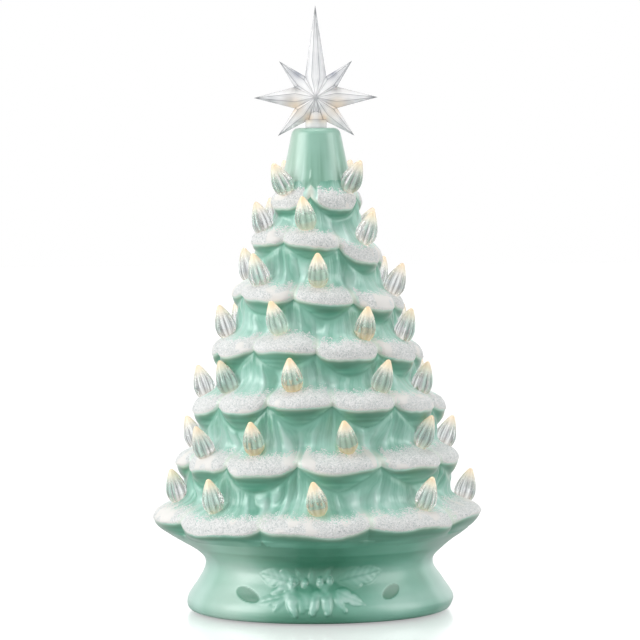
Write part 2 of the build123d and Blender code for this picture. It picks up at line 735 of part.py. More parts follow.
# Routes of the inner wires: along the roof of the box, in at the foot of the post and up to the board
tab_gap = CONTACT_THICKNESS / 2 + WIRE_RADIUS
switch_lug = switch_top + LUG_RISE
wire_routes = {
    "lead_positive": (
        (tab_places[0][0] - tab_gap, tab_places[0][1], wire_level),
        (2 * POST_RADIUS, 0, wire_level),
        (WIRE_OFFSET, 0, wire_level),
        (WIRE_OFFSET, 0, POST_TOP),
    ),
    "lead_switch": (
        (tab_places[1][0] + tab_gap, tab_places[1][1], wire_level),
        (tab_places[1][0] + tab_gap, -SWITCH_SETBACK + LUG_PITCH, wire_level),
        (-LUG_PITCH, -SWITCH_SETBACK, wire_level),
        (-LUG_PITCH, -SWITCH_SETBACK, switch_lug),
    ),
    "lead_return": (
        (0, -SWITCH_SETBACK, switch_lug),
        (0, -SWITCH_SETBACK, wire_level),
        (0, -WIRE_OFFSET, wire_level),
        (0, -WIRE_OFFSET, POST_TOP),
    ),
}
for label, route in wire_routes.items():
    with BuildPart() as lead:
        with BuildLine() as path:
            FilletPolyline(*route, radius=WIRE_BEND)
        with BuildSketch(Plane(path.line @ 0, z_dir=path.line % 0)):
            Circle(WIRE_RADIUS)
        sweep()
    lead.part.label = label
    export_step(lead.part, f"parts/{label}.step")
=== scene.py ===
# Dresses the ceramic tree: glazed shell with snow, lit bulbs, clear star, lamp unit, floor, light and camera.
import math
from collections import namedtuple
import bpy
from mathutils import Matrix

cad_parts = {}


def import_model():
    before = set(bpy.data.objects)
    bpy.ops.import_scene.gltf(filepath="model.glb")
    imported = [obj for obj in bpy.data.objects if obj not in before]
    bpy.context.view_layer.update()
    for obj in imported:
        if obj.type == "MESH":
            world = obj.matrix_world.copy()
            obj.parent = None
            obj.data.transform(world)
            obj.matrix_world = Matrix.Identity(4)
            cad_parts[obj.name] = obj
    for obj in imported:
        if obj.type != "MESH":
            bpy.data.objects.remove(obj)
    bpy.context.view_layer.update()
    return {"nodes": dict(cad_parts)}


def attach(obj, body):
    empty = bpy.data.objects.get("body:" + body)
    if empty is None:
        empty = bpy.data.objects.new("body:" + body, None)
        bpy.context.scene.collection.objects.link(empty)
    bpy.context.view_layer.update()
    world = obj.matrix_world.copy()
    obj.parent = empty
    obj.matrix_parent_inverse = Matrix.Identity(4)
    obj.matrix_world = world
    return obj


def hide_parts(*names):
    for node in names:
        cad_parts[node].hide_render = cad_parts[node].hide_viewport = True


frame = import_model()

from types import SimpleNamespace as Values

import bpy
import numpy as np
from mathutils import Matrix, Vector

MM = 0.001
nodes = frame["nodes"]

# Sizes shared with the solids, in millimetres and degrees; azimuths run from the front to the right
FOOT_LEVEL = 1
TRUNK_TOP = 304
TRUNK_BASE = 266
TRUNK_BASE_RADIUS = 22.6
TRUNK_RADIUS = 14.8
TRUNK_ROUND = 4
STAR_HOLE = 4.5
# Foot, neck and flare: height and radius
FOOT_PROFILE = (
    (1, 79.5), (1.4, 81), (2.4, 82.4), (4.2, 83.3), (7, 83.5), (10, 82.8), (14, 80.4), (18, 77.6),
    (21, 75.7), (25, 73.4), (29, 72), (31, 71.8), (34, 72.4), (38, 75.8), (42, 81.3),
    (45.8, 87.6), (49.6, 93.2), (53, 96.6),
)
# Inside of the shell from the tray's recess up to the star's hole: radius and height
HOLLOW = (
    (57, 1), (57, 5), (50, 5), (50, 11), (73.5, 11), (66.8, 31), (73.5, 44.5),
    (88, 61.5), (74.5, 78), (73.5, 94.5), (65, 113), (63.8, 128), (53, 149), (50.2, 162.5),
    (42, 184), (38.3, 196), (32.8, 213), (27.3, 227), (20.5, 248), (16, 256.5), (16, 272),
    (9.8, 294), (4.5, 294),
)
# Underside of the foot: inner edge and middle of its ring
UNDERSIDE_RADII = (57.6, 70)
Tier = namedtuple("Tier", "tip_r tip_z root_r root_z valley tilt nod lean snow_rise branches bulbs")
# Tiers from the top down; a branch is its azimuth and the drop of its lip, a bulb its azimuth, lift and sway
TIERS = (
    Tier(29, 256.5, 21, 272, 4, 0, 0, 27, 11.5,
         ((-50, 0), (33, 0), (115, 0), (205, 0)),
         ((-47, -1.5, -8), (54, 0, 6), (138, 0, 0), (218, 0, 0))),
    Tier(42.3, 227, 25.5, 248, 6, 6, -4, 20, 10,
         ((-62, -1.5), (-6, -3), (50, 2.5), (112, 1.5), (178, 0), (238, 0)),
         ((-64, -6, -14), (-13, 0, -10), (51, -6, -5), (123, 0, 0), (178, 0, 0), (236, 0, 0))),
    Tier(54.3, 196, 37.8, 213, 7, 4, 0, 18, 10.5,
         ((-94, 0), (-42, -1), (6, 0), (50, 1), (102, 0), (158, 0), (212, 0)),
         ((-105, 0, 0), (-50, -2, -9), (0, 2.5, -5), (88, -4, 1), (122, 0, 0), (188, 0, 0))),
    Tier(66.2, 162.5, 47, 184, 7, 1, -1.5, 19, 11,
         ((-98, 0), (-62, 0), (-21, -3.5), (19, -0.6), (58, -0.3), (98, 0), (138, 1), (180, 0), (221, -1)),
         ((-89, -3, 0), (-26, 2.5, -10), (32, -1.5, -4), (69, -3.5, 1), (113, 0, 0), (158, 0, 0),
          (202, 0, 0), (245, 0, 0))),
    Tier(79.8, 128, 58, 149, 7, 0, -3, 18, 11,
         ((-102, 0), (-72, 0.5), (-40, -1.7), (-10, -3.5), (24, -2.7), (56, -0.5), (90, 0), (124, 1),
          (158, 0), (192, -1), (226, 0)),
         ((-94, -6, -7), (-58, -1.5, -9), (-13, 0.5, -3), (35, -1.5, 9), (75, -4, -6), (113, 0, 0),
          (149, 0, 0), (190, 0, 0), (229, 0, 0))),
    Tier(89, 94.5, 70, 113, 6.5, 0, 0, 22, 11.5,
         ((-113, 0), (-83, 0), (-57, 1), (-27, -0.3), (9, -2.7), (46, -2.5), (82, -1), (117, 0), (151, 1),
          (185, 0), (218, 0)),
         ((-107, -4, 0), (-57, -5.5, -3), (-30, 1, 3), (14, 3, -13), (57, 2.5, 11), (93, -3, 12), (131, 0, 0),
          (172, 0, 0), (213, 0, 0))),
    Tier(103.7, 61.5, 79.5, 78, 5, 0, 0, 16, 10,
         ((-78, -1.5), (-40, 3), (-2, 1.4), (38, 1.7), (77, -1.5), (117, -1), (158, 1.5), (200, 1.5),
          (241, 0)),
         ((-80, 1.5, 8), (-44, -2, -1), (0, -1, -10), (45, -1.5, 8), (92, -4, 6), (135, 0, 0), (180, 0, 0),
          (223, 0, 0))),
)
LAST = len(TIERS) - 1
LIP_REACH = 0.16
SEAT_DROP, SEAT_REACH, SEAT_VALLEY, SEAT_SINK = 0.43, 0.44, 0.85, 1
BULB_RADIUS, BULB_HEIGHT, BULB_RIDGES, PEG_RADIUS, PEG_LENGTH = 6.4, 21.5, 10, 2.5, 8

# Branches that show a little off those of the solids, by tier and number
SHOWN = {
    2: {0: (-104, -1), 1: (-42, -2.2), 2: (6, -2.5), 3: (50, -0.5)},
    6: {3: (38, 0.6), 4: (77, -3.6), 5: (117, -2.2)},
}
# The casting's right side: a fuller foot, a narrower flare, and a lowest tier that reaches less far
RIGHT = Values(sine=(0.6, 0.95), foot=1.4, flare=-3, tip=-2.6, end=-3.4, end_rise=0.8)
FOOT_BAND, FLARE_BAND = (3, 9, 20, 30), (38, 48, 60, 70)
STREAK_BAND = (TRUNK_BASE, 272, 296, TRUNK_TOP)

# Grid of the shell's outside: columns by azimuth, and rows by height, closer at both ends
COLUMNS = 960
FOOT_EDGE, TIERS_TOP, TRUNK_EDGE, ROW_STEP = 4.4, 276, 299.5, 0.62
rows = np.concatenate([
    np.linspace(FOOT_LEVEL, FOOT_EDGE, 10)[:-1],
    np.arange(FOOT_EDGE, TIERS_TOP, ROW_STEP),
    np.linspace(TIERS_TOP, TRUNK_EDGE, 28),
    np.linspace(TRUNK_EDGE, TRUNK_TOP, 12)[1:],
])
angle = np.linspace(-180.0, 180.0, COLUMNS, endpoint=False)
turn = np.radians(angle)
grid_z = np.broadcast_to(rows, (COLUMNS, len(rows)))
grid_a = np.broadcast_to(turn[:, None], grid_z.shape)


def smooth(low, high, value):
    """Soft step from 0 at low to 1 at high; it falls where low is the larger."""
    share = np.clip((value - low) / (high - low), 0.0, 1.0)
    return share * share * (3.0 - 2.0 * share)


def band(stops, value):
    """Soft step up between the first two stops and down between the last two."""
    low, full, fade, high = stops
    return smooth(low, full, value) * smooth(high, fade, value)


def bell(offset, width, power=2):
    return np.exp(-(offset / width) ** power)


def term(spec, value):
    """A weight times the soft step between the two values after it."""
    weight, low, high = spec
    return weight * smooth(low, high, value)


def hump(spec, value, power=2):
    """A weight times the bell with the middle and width after it."""
    weight, middle, width = spec
    return weight * bell(value - middle, width, power)


NOISE_HEIGHT = 310


def ring_noise(cells, cell_height, seed):
    """Noise from 0 to 1 over the grid, by the cells round the tree and their height."""
    rng = np.random.default_rng(seed)
    high = int(NOISE_HEIGHT / cell_height) + 3
    table = rng.random((cells, high))
    across = (angle + 180.0) / 360.0 * cells
    left = np.floor(across).astype(int)
    fa = smooth(0.0, 1.0, across - left)[:, None]
    up = rows / cell_height
    low = np.floor(up).astype(int)
    fz = smooth(0.0, 1.0, up - low)
    table = table[left % cells] * (1 - fa) + table[(left + 1) % cells] * fa
    return table[:, low] * (1 - fz) + table[:, low + 1] * fz


def smooth_max(first, second, width):
    near = np.maximum(width - np.abs(first - second), 0.0) / width
    return np.maximum(first, second) + near * near * width * 0.25


# How fast a line falls inwards below its first knot and above its last one
FALL_BELOW, FALL_ABOVE = 2.5, 3


def curve(heights, radii, at):
    """Radius at each height along a smooth line through the knots, one line per column."""
    steps = np.diff(heights, axis=1)
    slopes = np.diff(radii, axis=1) / steps
    tangents = np.empty_like(heights)
    tangents[:, 0], tangents[:, -1] = slopes[:, 0], slopes[:, -1]
    weight = steps[:, :-1] / (steps[:, :-1] + steps[:, 1:])
    tangents[:, 1:-1] = slopes[:, :-1] * (1 - weight) + slopes[:, 1:] * weight
    out = radii[:, :1] - FALL_BELOW * np.maximum(heights[:, :1] - at, 0.0)
    out = np.where(at > heights[:, -1:], radii[:, -1:] - FALL_ABOVE * (at - heights[:, -1:]), out)
    for knot in range(heights.shape[1] - 1):
        size = steps[:, knot:knot + 1]
        share = (at - heights[:, knot:knot + 1]) / size
        inside = (share >= 0.0) & (share <= 1.0)
        t = np.clip(share, 0.0, 1.0)
        low, low_tangent = radii[:, knot:knot + 1], tangents[:, knot:knot + 1]
        high, high_tangent = radii[:, knot + 1:knot + 2], tangents[:, knot + 1:knot + 2]
        value = (low * (1 + 2 * t) + low_tangent * size * t) * (1 - t) ** 2
        value = value + (high * (3 - 2 * t) - high_tangent * size * (1 - t)) * t * t
        out = np.where(inside, value, out)
    return out


# Width in degrees that is taken on a column in the very middle of a branch
MIDDLE_WIDTH, MIDDLE_GAP = 40, 1e-6


def branch_place(branches):
    """Each column's branch, its way to the valley (-1 to 1) and the branch's width in degrees."""
    centres = np.array([azimuth % 360.0 for azimuth, drop in branches])
    past = (angle[:, None] - centres) % 360.0
    ahead = (centres - angle[:, None]) % 360.0
    near_past, near_ahead = past.argmin(1), ahead.argmin(1)
    gap_past, gap_ahead = past.min(1), ahead.min(1)
    gap = np.maximum(gap_past + gap_ahead, MIDDLE_GAP)
    right = gap_past <= gap_ahead
    which = np.where(right, near_past, near_ahead)
    place = np.where(right, gap_past, -gap_ahead) * 2.0 / gap
    width = np.where(gap_past + gap_ahead < MIDDLE_GAP, MIDDLE_WIDTH, gap)
    return which, np.clip(place, -1.0, 1.0), width


# Foot, flare and trunk, which fall away steeply where the tiers hide them
FLARE_FALL, TRUNK_FALL, TRUNK_END, TRUNK_SPREAD, ROUND_SHARE = 6, 3, 250, 0.05, 0.9
STREAK_RELIEF = 0.12
right_side = smooth(*RIGHT.sine, np.sin(turn))
streak = ring_noise(46, 34.0, 5) - 0.5


def base_form():
    heights, radii = np.array(FOOT_PROFILE).T
    end_z, end_r = FOOT_PROFILE[-1]
    base = curve(heights[None], radii[None], rows[None])[0]
    base = np.where(rows > end_z, end_r - FLARE_FALL * (rows - end_z), base)
    slope = (TRUNK_RADIUS - TRUNK_BASE_RADIUS) / (TRUNK_TOP - TRUNK_BASE)
    trunk = TRUNK_BASE_RADIUS + slope * (rows - TRUNK_BASE)
    corner = np.clip(rows - (TRUNK_TOP - TRUNK_ROUND), 0.0, TRUNK_ROUND)
    trunk = trunk - ROUND_SHARE * (TRUNK_ROUND - np.sqrt(np.maximum(TRUNK_ROUND ** 2 - corner ** 2, 0.0)))
    hidden = TRUNK_BASE_RADIUS + TRUNK_SPREAD * (TRUNK_BASE - rows)
    hidden = hidden - TRUNK_FALL * np.maximum(TRUNK_END - rows, 0.0)
    trunk = np.where(rows < TRUNK_BASE, hidden, trunk)
    form = np.maximum(base, trunk) * np.ones((COLUMNS, 1))
    uneven = RIGHT.foot * band(FOOT_BAND, grid_z) + RIGHT.flare * band(FLARE_BAND, grid_z)
    return form + right_side[:, None] * uneven + STREAK_RELIEF * streak * band(STREAK_BAND, grid_z)


# Form of the tiers: how branches dip and curl to their valleys, and the belly under each lip, in millimetres
VALLEY_LIFT = (8, 4.5, 4.5, 5.2, 5.2, 6, 2.3)
BELLY_DEPTH = (5.5, 7, 8.5, 9.8, 10.3, 10.3)
FORM = Values(
    dip=2.3, curl=4, top_curl=2.5, drop=0.5, out=0.4, wobble=0.35, waves=range(5, 17, 2), wobble_radius=80,
    seat_rise=5, skirt_rise=7, top_skirt_rise=4, skirt_proud=0.4, skirt_end=(5, 3.5), lip_drop=2.6,
    belly=1.2, belly_edge=1.02, belly_power=0.75, belly_in=0.55, belly_middle=0.42, middle_in=0.15,
    tuck_drop=7, tuck=6, last_tuck=14, flare=(91.5, 48.5), tent=(0.45, 1), lip_zone=9, past_tip=1.4,
)
PHASE = 6.28


def tier_form(index, tier, above, rng):
    """In each column a smooth line from the tuck under the belly up to the skirt's top."""
    shown = SHOWN.get(index, {})
    branches = [shown.get(number, branch) for number, branch in enumerate(tier.branches)]
    which, place, width = branch_place(branches)
    beside = np.abs(place)
    dip = beside ** FORM.dip
    curl = beside ** (FORM.top_curl if index == 0 else FORM.curl)
    drop = np.array([d for azimuth, d in branches]) + rng.normal(0.0, FORM.drop, len(branches))
    out = rng.normal(0.0, FORM.out, len(branches))
    calm = min(1.0, tier.tip_r / FORM.wobble_radius) ** 2
    wobble = sum(
        rng.normal(0.0, FORM.wobble) * calm * np.cos(n * turn + rng.random() * PHASE) for n in FORM.waves
    )
    hang = math.tan(math.radians(tier.tilt)) * np.sin(turn) + math.tan(math.radians(tier.nod)) * np.cos(turn)
    top_r = tier.tip_r + out[which] * (1.0 - dip) + 0.5 * wobble - tier.valley * dip
    top_z = tier.tip_z - drop[which] * (1.0 - curl) - wobble + VALLEY_LIFT[index] * curl - hang * tier.tip_r
    if index == LAST:
        top_r = top_r + RIGHT.tip * right_side
    seat_r = tier.root_r + SEAT_REACH * (tier.tip_r - tier.root_r) - SEAT_VALLEY * tier.valley * place ** 2
    seat_z = tier.root_z - SEAT_DROP * (tier.root_z - tier.tip_z) - hang * seat_r
    seat_z = np.maximum(seat_z, top_z + FORM.seat_rise)
    lip_r = top_r - LIP_REACH * (tier.tip_r - tier.root_r)
    lip_z = top_z + 0.5 * (seat_z - top_z)
    # The skirt hangs from under the tier above, highest in that tier's valleys
    if above is None:
        high_r = np.full(COLUMNS, tier.root_r)
        high_z = np.maximum(tier.root_z, seat_z + FORM.top_skirt_rise)
        tent = np.zeros(COLUMNS)
    else:
        high_r = above.end_r + FORM.skirt_proud
        high_z = np.maximum(above.end_z, seat_z + FORM.skirt_rise)
        tent = smooth(*FORM.tent, above.beside)
    # The belly under the lip is a crescent, deepest below the branch's middle; the lowest meets the flare
    if index < LAST:
        crescent = smooth(FORM.belly_edge, 0.0, beside) ** FORM.belly_power
        belly = FORM.belly + BELLY_DEPTH[index] * crescent
        end_r, end_z = top_r - FORM.belly_in * belly, top_z - FORM.lip_drop - belly
    else:
        end_r = FORM.flare[0] + RIGHT.end * right_side
        end_z = FORM.flare[1] + RIGHT.end_rise * right_side
        belly = top_z - FORM.lip_drop - end_z
    tuck = FORM.last_tuck if index == LAST else FORM.tuck
    rise, inset = FORM.skirt_end
    knots = np.array((
        (end_r - tuck, end_z - FORM.tuck_drop),
        (end_r, end_z),
        (top_r - FORM.middle_in * (top_r - end_r), top_z - FORM.lip_drop - FORM.belly_middle * belly),
        (top_r, top_z),
        (lip_r, lip_z),
        (seat_r, seat_z),
        (high_r, high_z),
        (high_r - inset, high_z + rise),
    ))
    lip_top = seat_z + FORM.lip_zone
    return Values(
        body=curve(knots[:, 1].T, knots[:, 0].T, grid_z), branches=len(branches), which=which, width=width,
        beside=beside, curl=curl, belly=belly, end_r=end_r, end_z=end_z, tent=tent[:, None],
        v=place[:, None], side=beside[:, None],
        along=(high_z[:, None] - grid_z) / (high_z - top_z)[:, None],
        down=np.clip((lip_top[:, None] - grid_z) / (lip_top - top_z)[:, None], 0.0, FORM.past_tip),
        height=grid_z - top_z[:, None],
    )


# Noise on the tiers: cells per millimetre of tip radius, fewest cells, cell height and first seed
Texture = namedtuple("Texture", "per_mm fewest height seed")
WAVE = Texture(1.1, 18, 9, 100)
STRENGTH = Texture(0.55, 14, 14, 150)
RAGGED = Texture(1.6, 24, 4, 200)
BLOTCH = Texture(0.4, 10, 14, 300)
FINE_BLOTCH = Texture(1.1, 20, 5, 350)
GRAIN = Texture(2 * math.pi / 1.05, 60, 1.05, 400)
LUMPS = Texture(0.9, 16, 6, 600)
CLOUD = Texture(0.3, 8, 18, 700)
BRUSH = Texture(0.4, 10, 1.4, 800)
FINE_GRAIN_CELLS, FINE_GRAIN_HEIGHT, FINE_GRAIN_SEED = 1.8, 0.65, 500


def noise_cells(tier, kind):
    return max(kind.fewest, int(tier.tip_r * kind.per_mm))


def tier_noise(index, kind):
    return ring_noise(noise_cells(TIERS[index], kind), kind.height, kind.seed + index)


FOLD = Values(
    width=5, fewest=2, spread=0.85, sway=0.10, weak=0.35, strong=1.1, groove=0.45, fine=3.1,
    fine_sway=3, needle=6.3, needle_sway=5, middle=0.28, sides=(0.72, 0.25, 0.75), valley=(1, 0.90),
    fine_valley=(1, 0.88), start=(0, 0.18), end=(0.90, 0.60), relief=0.80, fine_relief=0.08,
    needle_relief=0.03, radius=60,
)


def needle_folds(index, tier, form, rng):
    """Folds that fan out down the branch: relief, where they run, and the finest lines."""
    half_width = np.radians(form.width)[:, None] * tier.tip_r * 0.5
    count = math.pi * np.maximum(FOLD.fewest, np.round(half_width / FOLD.width))
    wave = tier_noise(index, WAVE) - 0.5
    spread = FOLD.spread * (1.0 - np.clip(form.along, 0.0, 1.0)) * (1.0 - form.v * form.v)
    fan = form.v * (1.0 + spread) + FOLD.sway * wave
    strong = FOLD.weak + FOLD.strong * tier_noise(index, STRENGTH)
    tone = rng.random(form.branches)[form.which][:, None] * PHASE
    folds = np.cos(count * fan + tone)
    folds = np.where(folds < 0.0, FOLD.groove * folds, folds)
    fine = np.cos(count * FOLD.fine * fan + 2.0 * tone + FOLD.fine_sway * wave)
    needles = np.cos(count * FOLD.needle * fan + 5.0 * tone + FOLD.needle_sway * wave)
    side = (FOLD.middle + term(FOLD.sides, form.side)) * smooth(*FOLD.valley, form.side)
    reach = smooth(*FOLD.start, form.along) * smooth(*FOLD.end, form.down)
    lines = FOLD.fine_relief * fine + FOLD.needle_relief * needles
    lines = lines * smooth(*FOLD.fine_valley, form.side)
    relief = reach * (FOLD.relief * side * strong * folds + lines)
    relief = relief * min(1.0, tier.tip_r / FOLD.radius) ** 0.5
    return Values(relief=relief, reach=reach, needles=reach * needles * strong)


SNOW = Values(
    grain_weight=0.6, grain_middle=0.8, edge_drop=2.6, edge_curl=1.2, edge_ragged=2.4, bare=(0.8, 0.35),
    gap_ragged=0.10, gap_at=0.82, top_gap_at=0.72, gap_width=0.13, low_edge=-2.5, low_ragged=0.5,
    thin_grain=4.2, cover_low=(-0.6, 0.5), cover_high=(-0.9, 0.9), bank_low=0.9, bank_high=(-2, 2.5),
    blotch=0.55, patch=(0.63, 0.74), low_patch=(0.8, -0.9, -2.2), patch_ragged=0.8,
    thickness=0.9, lump=0.9, grain_relief=0.42, patch_calm=0.9, drift_low=0.7, drift_width=7.5,
)


def snow_bank(index, tier, form, rng):
    """Snow on the lip, thick and rounded, with grains that thin out upwards and smooth patches."""
    ragged = tier_noise(index, RAGGED) - 0.5
    fine_cells = int(noise_cells(tier, GRAIN) * FINE_GRAIN_CELLS)
    fine = ring_noise(fine_cells, FINE_GRAIN_HEIGHT, FINE_GRAIN_SEED + index)
    grains = SNOW.grain_weight * tier_noise(index, GRAIN) + fine - SNOW.grain_middle
    edge = tier.snow_rise - SNOW.edge_drop - SNOW.edge_curl * form.curl[:, None] + SNOW.edge_ragged * ragged
    spread, least = SNOW.bare
    bare = np.clip(rng.random(form.branches) * spread + least, 0.0, 1.0)
    if index == 0:
        bare = np.ones_like(bare)
    gap_at = SNOW.top_gap_at if index == 0 else SNOW.gap_at
    near_gap = np.minimum(form.side + SNOW.gap_ragged * ragged, 1.0)
    gap = 1.0 - bare[form.which][:, None] * smooth(gap_at, gap_at + SNOW.gap_width, near_gap)
    low_edge = SNOW.low_edge + SNOW.low_ragged * ragged
    rise = form.height - low_edge
    room = edge - form.height
    cover = smooth(*SNOW.cover_low, rise) * smooth(*SNOW.cover_high, room + SNOW.thin_grain * grains) * gap
    bank = smooth(-SNOW.bank_low, SNOW.bank_low, rise) * smooth(*SNOW.bank_high, room) * gap
    blotch = SNOW.blotch * tier_noise(index, BLOTCH) + (1 - SNOW.blotch) * tier_noise(index, FINE_BLOTCH)
    low_patch = term(SNOW.low_patch, form.height - SNOW.patch_ragged * ragged)
    patch = np.maximum(smooth(*SNOW.patch, blotch), low_patch)
    lumps = tier_noise(index, LUMPS) - 0.5
    thick = bank * (SNOW.thickness + SNOW.lump * lumps)
    thick = thick + cover * SNOW.grain_relief * grains * (1 - SNOW.patch_calm * patch)
    drift = np.clip(0.5 + room / SNOW.drift_width, 0.0, 1.0) * gap
    drift = drift * smooth(-SNOW.drift_low, SNOW.drift_low, rise)
    return Values(thick=thick, drift=drift, patch=patch, rise=rise)


# Tone of the glaze, from 0 for pale to 1 for deep, with painted shade on the belly under each lip (dark,
# under), painted shade and deeper glaze at the skirt's top (top) and painted shade under the valleys of the
# tier above (tent), and how much of the cream body shows
TONE = Values(
    start=0.42, base=0.27, fold=0.28, needle=0.02, lip=(0.20, 0.40, 0.95), top=(0.22, 0.32, 0), last=0.09,
    tent=(0.26, 0.55, 0.05), valley=(0.16, 0.74, 1), valley_zone=(0.1, 0.5), under=(0.44, 0.1, 1),
    least_belly=3, dark=(-0.4, -1.8), cloud=0.22, brush=0.30, crease=(0.14, 0, 1.2),
)
CREAM = Values(
    seam=(0.55, 0.82, 0.96), seam_zone=(0.45, 0.8), edge=(0.5, -0.3, 1.5), mean=0.70, brush=1.2, least=0.1,
)


def glaze_tone(index, form, folds, bank):
    """Tone and cream on a tier; the tone holds painted shade on the belly and under the tier above."""
    under = np.clip(-bank.rise / np.maximum(form.belly, TONE.least_belly)[:, None], 0.0, 1.0)
    dark = smooth(*TONE.dark, bank.rise)
    brush = tier_noise(index, BRUSH) - 0.5
    # Deeper at the skirt's top, partly deeper glaze and partly painted shade, and painted shade under the
    # valleys of the tier above
    tone = (
        TONE.base - TONE.fold * folds.relief - TONE.needle * folds.needles - term(TONE.lip, form.down)
        + term(TONE.top, form.along) + (TONE.last if index == LAST else 0.0)
        + form.tent * term(TONE.tent, form.along)
        - term(TONE.valley, form.side) * smooth(*TONE.valley_zone, form.along)
    )
    # Painted shade: the belly under the lip goes deep, paler towards its lower edge
    tone = tone * (1 - dark) + dark * (1.0 - term(TONE.under, under))
    tone = tone + TONE.cloud * (tier_noise(index, CLOUD) - 0.5) + TONE.brush * dark * brush
    seam = term(CREAM.seam, form.side) * smooth(*CREAM.seam_zone, form.down) * (1 - dark)
    edge = hump(CREAM.edge, bank.rise) * np.clip(CREAM.mean + CREAM.brush * brush, CREAM.least, 1.0)
    return tone, np.maximum(seam, edge)


# Tiers from the top down, each blended into what stands already
BLEND, END_BLEND = 2.8, 4
SNOW_FADE, CREAM_FADE = (0.5, 0), (0.5, -0.5)
radius = base_form()
snow, grain, cream, fur = (np.zeros_like(radius) for _ in range(4))
pool_and_shade = np.full_like(radius, TONE.start)
owner = np.full(radius.shape, -1)
tier_rng = np.random.default_rng(21)
above = None
for index, tier in enumerate(TIERS):
    form = tier_form(index, tier, above, tier_rng)
    folds = needle_folds(index, tier, form, tier_rng)
    bank = snow_bank(index, tier, form, tier_rng)
    tone, bare_cream = glaze_tone(index, form, folds, bank)
    body = form.body + folds.relief + bank.thick
    proud = body - radius
    wins = proud > 0.0
    radius = smooth_max(radius, body, END_BLEND if index in (0, LAST) else BLEND)
    # A tier's tone, its painted shade included, goes where the tier stands proud
    pool_and_shade = np.where(wins, tone, pool_and_shade) + hump(TONE.crease, proud)
    snow = np.where(wins, bank.drift, snow * smooth(*SNOW_FADE, proud))
    grain = np.where(wins, 1 - bank.patch, grain)
    cream = np.where(wins, bare_cream, cream * smooth(*CREAM_FADE, proud))
    fur = np.where(wins, folds.reach, fur)
    owner = np.where(wins, index, owner)
    above = form

# Relief on the front of the foot, on its face laid flat: way to the right along the arc, and height
ARC_RADIUS = 80
arc = grid_a * ARC_RADIUS
# Leaves: start, heading in degrees, length, half width and rise
LEAVES = (
    (-13, 26, 172, 30, 7.8, 2), (-20, 18, 194, 20, 4.8, 1.6), (12, 27, 8, 33, 8.4, 2),
    (10, 21, -26, 20, 5.4, 2.4),
)
LEAF_LOBES, LEAF_BRIM, LEAF_RIB, LEAF_RIB_WIDTH, LEAF_VEIN = 2, 0.35, 0.35, 0.7, 0.06
# Petals and berries: start, end, half widths there and rise
PETALS = (
    (-18.4, 20.5, -14.4, 6.8, 5.2, 2.4, 3.2), (-7.6, 21, -7, 12, 4.6, 2.8, 2.7),
    (-1.6, 18.5, -4.2, 8, 4.2, 2.3, 3.2), (4.2, 22, 4.8, 8, 5, 2.4, 3.2),
    (-20.5, 18.5, -26.4, 10, 3.4, 1.8, 2.1), (-12, 19, -10, 9.5, 3.8, 2.4, 2.2),
    (9.6, 22, 12.6, 12.5, 4, 2.6, 2.4), (-22, 23.5, -30, 20, 3.4, 1.8, 2.2),
    (10, 19, 15, 9, 3.4, 1.6, 2.3), (-11.5, 27.5, -15, 33, 3.2, 1.8, 2),
    (3.6, 29, 8, 34, 3.2, 1.8, 2), (-5, 28, -5.4, 33.5, 3, 1.6, 1.8),
    (-18.2, 24.6, -18, 26.8, 3, 2.5, 4), (0.6, 25.4, 0.6, 27.4, 2.6, 2.1, 3.8),
    (-9.6, 24.8, -9.2, 26.2, 2.5, 2.1, 3.4), (6.8, 26.2, 7.2, 27.8, 2.4, 2, 3.3),
)
# Smooth patches beside the relief: middle, heading in degrees, half length and half width
PATCHES = ((-48, 17.6, -16, 11, 3.9), (48.2, 18.8, 22, 8.4, 3.5))
RELIEF = Values(
    mound_arc=(0.9, -5, 17), mound_height=(1, 19, 10), blend=1.4, uneven=0.5, ground=0.25,
    patch_sink=0.2, patch_edge=(1, 0.86), top=(44, 40), sides=(1.25, 0.78),
)


def turned(start_a, start_z, heading):
    """Ways along and across a heading from a point of the foot's face."""
    c, s = math.cos(math.radians(heading)), math.sin(math.radians(heading))
    return (arc - start_a) * c + (grid_z - start_z) * s, -(arc - start_a) * s + (grid_z - start_z) * c


def leaf(start_a, start_z, heading, length, half, rise):
    """Raised leaf with lobes, a brim, a middle rib and side veins."""
    way, q = turned(start_a, start_z, heading)
    p = way / length
    t = np.clip(p, 0.001, 0.999)
    lobes = 0.78 + 0.32 * np.abs(np.sin(math.pi * LEAF_LOBES * t)) ** 0.7
    span = half * np.sin(math.pi * t ** 0.8) ** 0.8 * lobes
    across = np.abs(q) / np.maximum(span, 0.05)
    inside = smooth(1.0, 0.62, across) * (p > 0) * (p < 1)
    dome = rise * (0.55 + 0.45 * (1 - np.clip(across, 0, 1) ** 2)) * (0.75 + 0.35 * np.sin(math.pi * t))
    brim = LEAF_BRIM * smooth(0.55, 0.85, across)
    rib = LEAF_RIB * bell(q, LEAF_RIB_WIDTH)
    vein = LEAF_VEIN * np.cos((way - 0.8 * np.abs(q)) * 1.3)
    return inside * (dome + brim - rib + vein)


def petal(start_a, start_z, end_a, end_z, wide, narrow, rise):
    """Raised rounded petal along a line, from its wide end to its narrow one."""
    line = np.array([end_a - start_a, end_z - start_z])
    share = ((arc - start_a) * line[0] + (grid_z - start_z) * line[1]) / (line @ line)
    share = np.clip(share, 0.0, 1.0)
    away = np.hypot(arc - start_a - share * line[0], grid_z - start_z - share * line[1])
    half = wide + (narrow - wide) * share ** 1.5
    crown = np.maximum(1.0 - (away / half) ** 2, 0.0) ** 0.62
    return rise * (0.75 + 0.25 * np.sin(math.pi * np.clip(share, 0.05, 0.95))) * crown


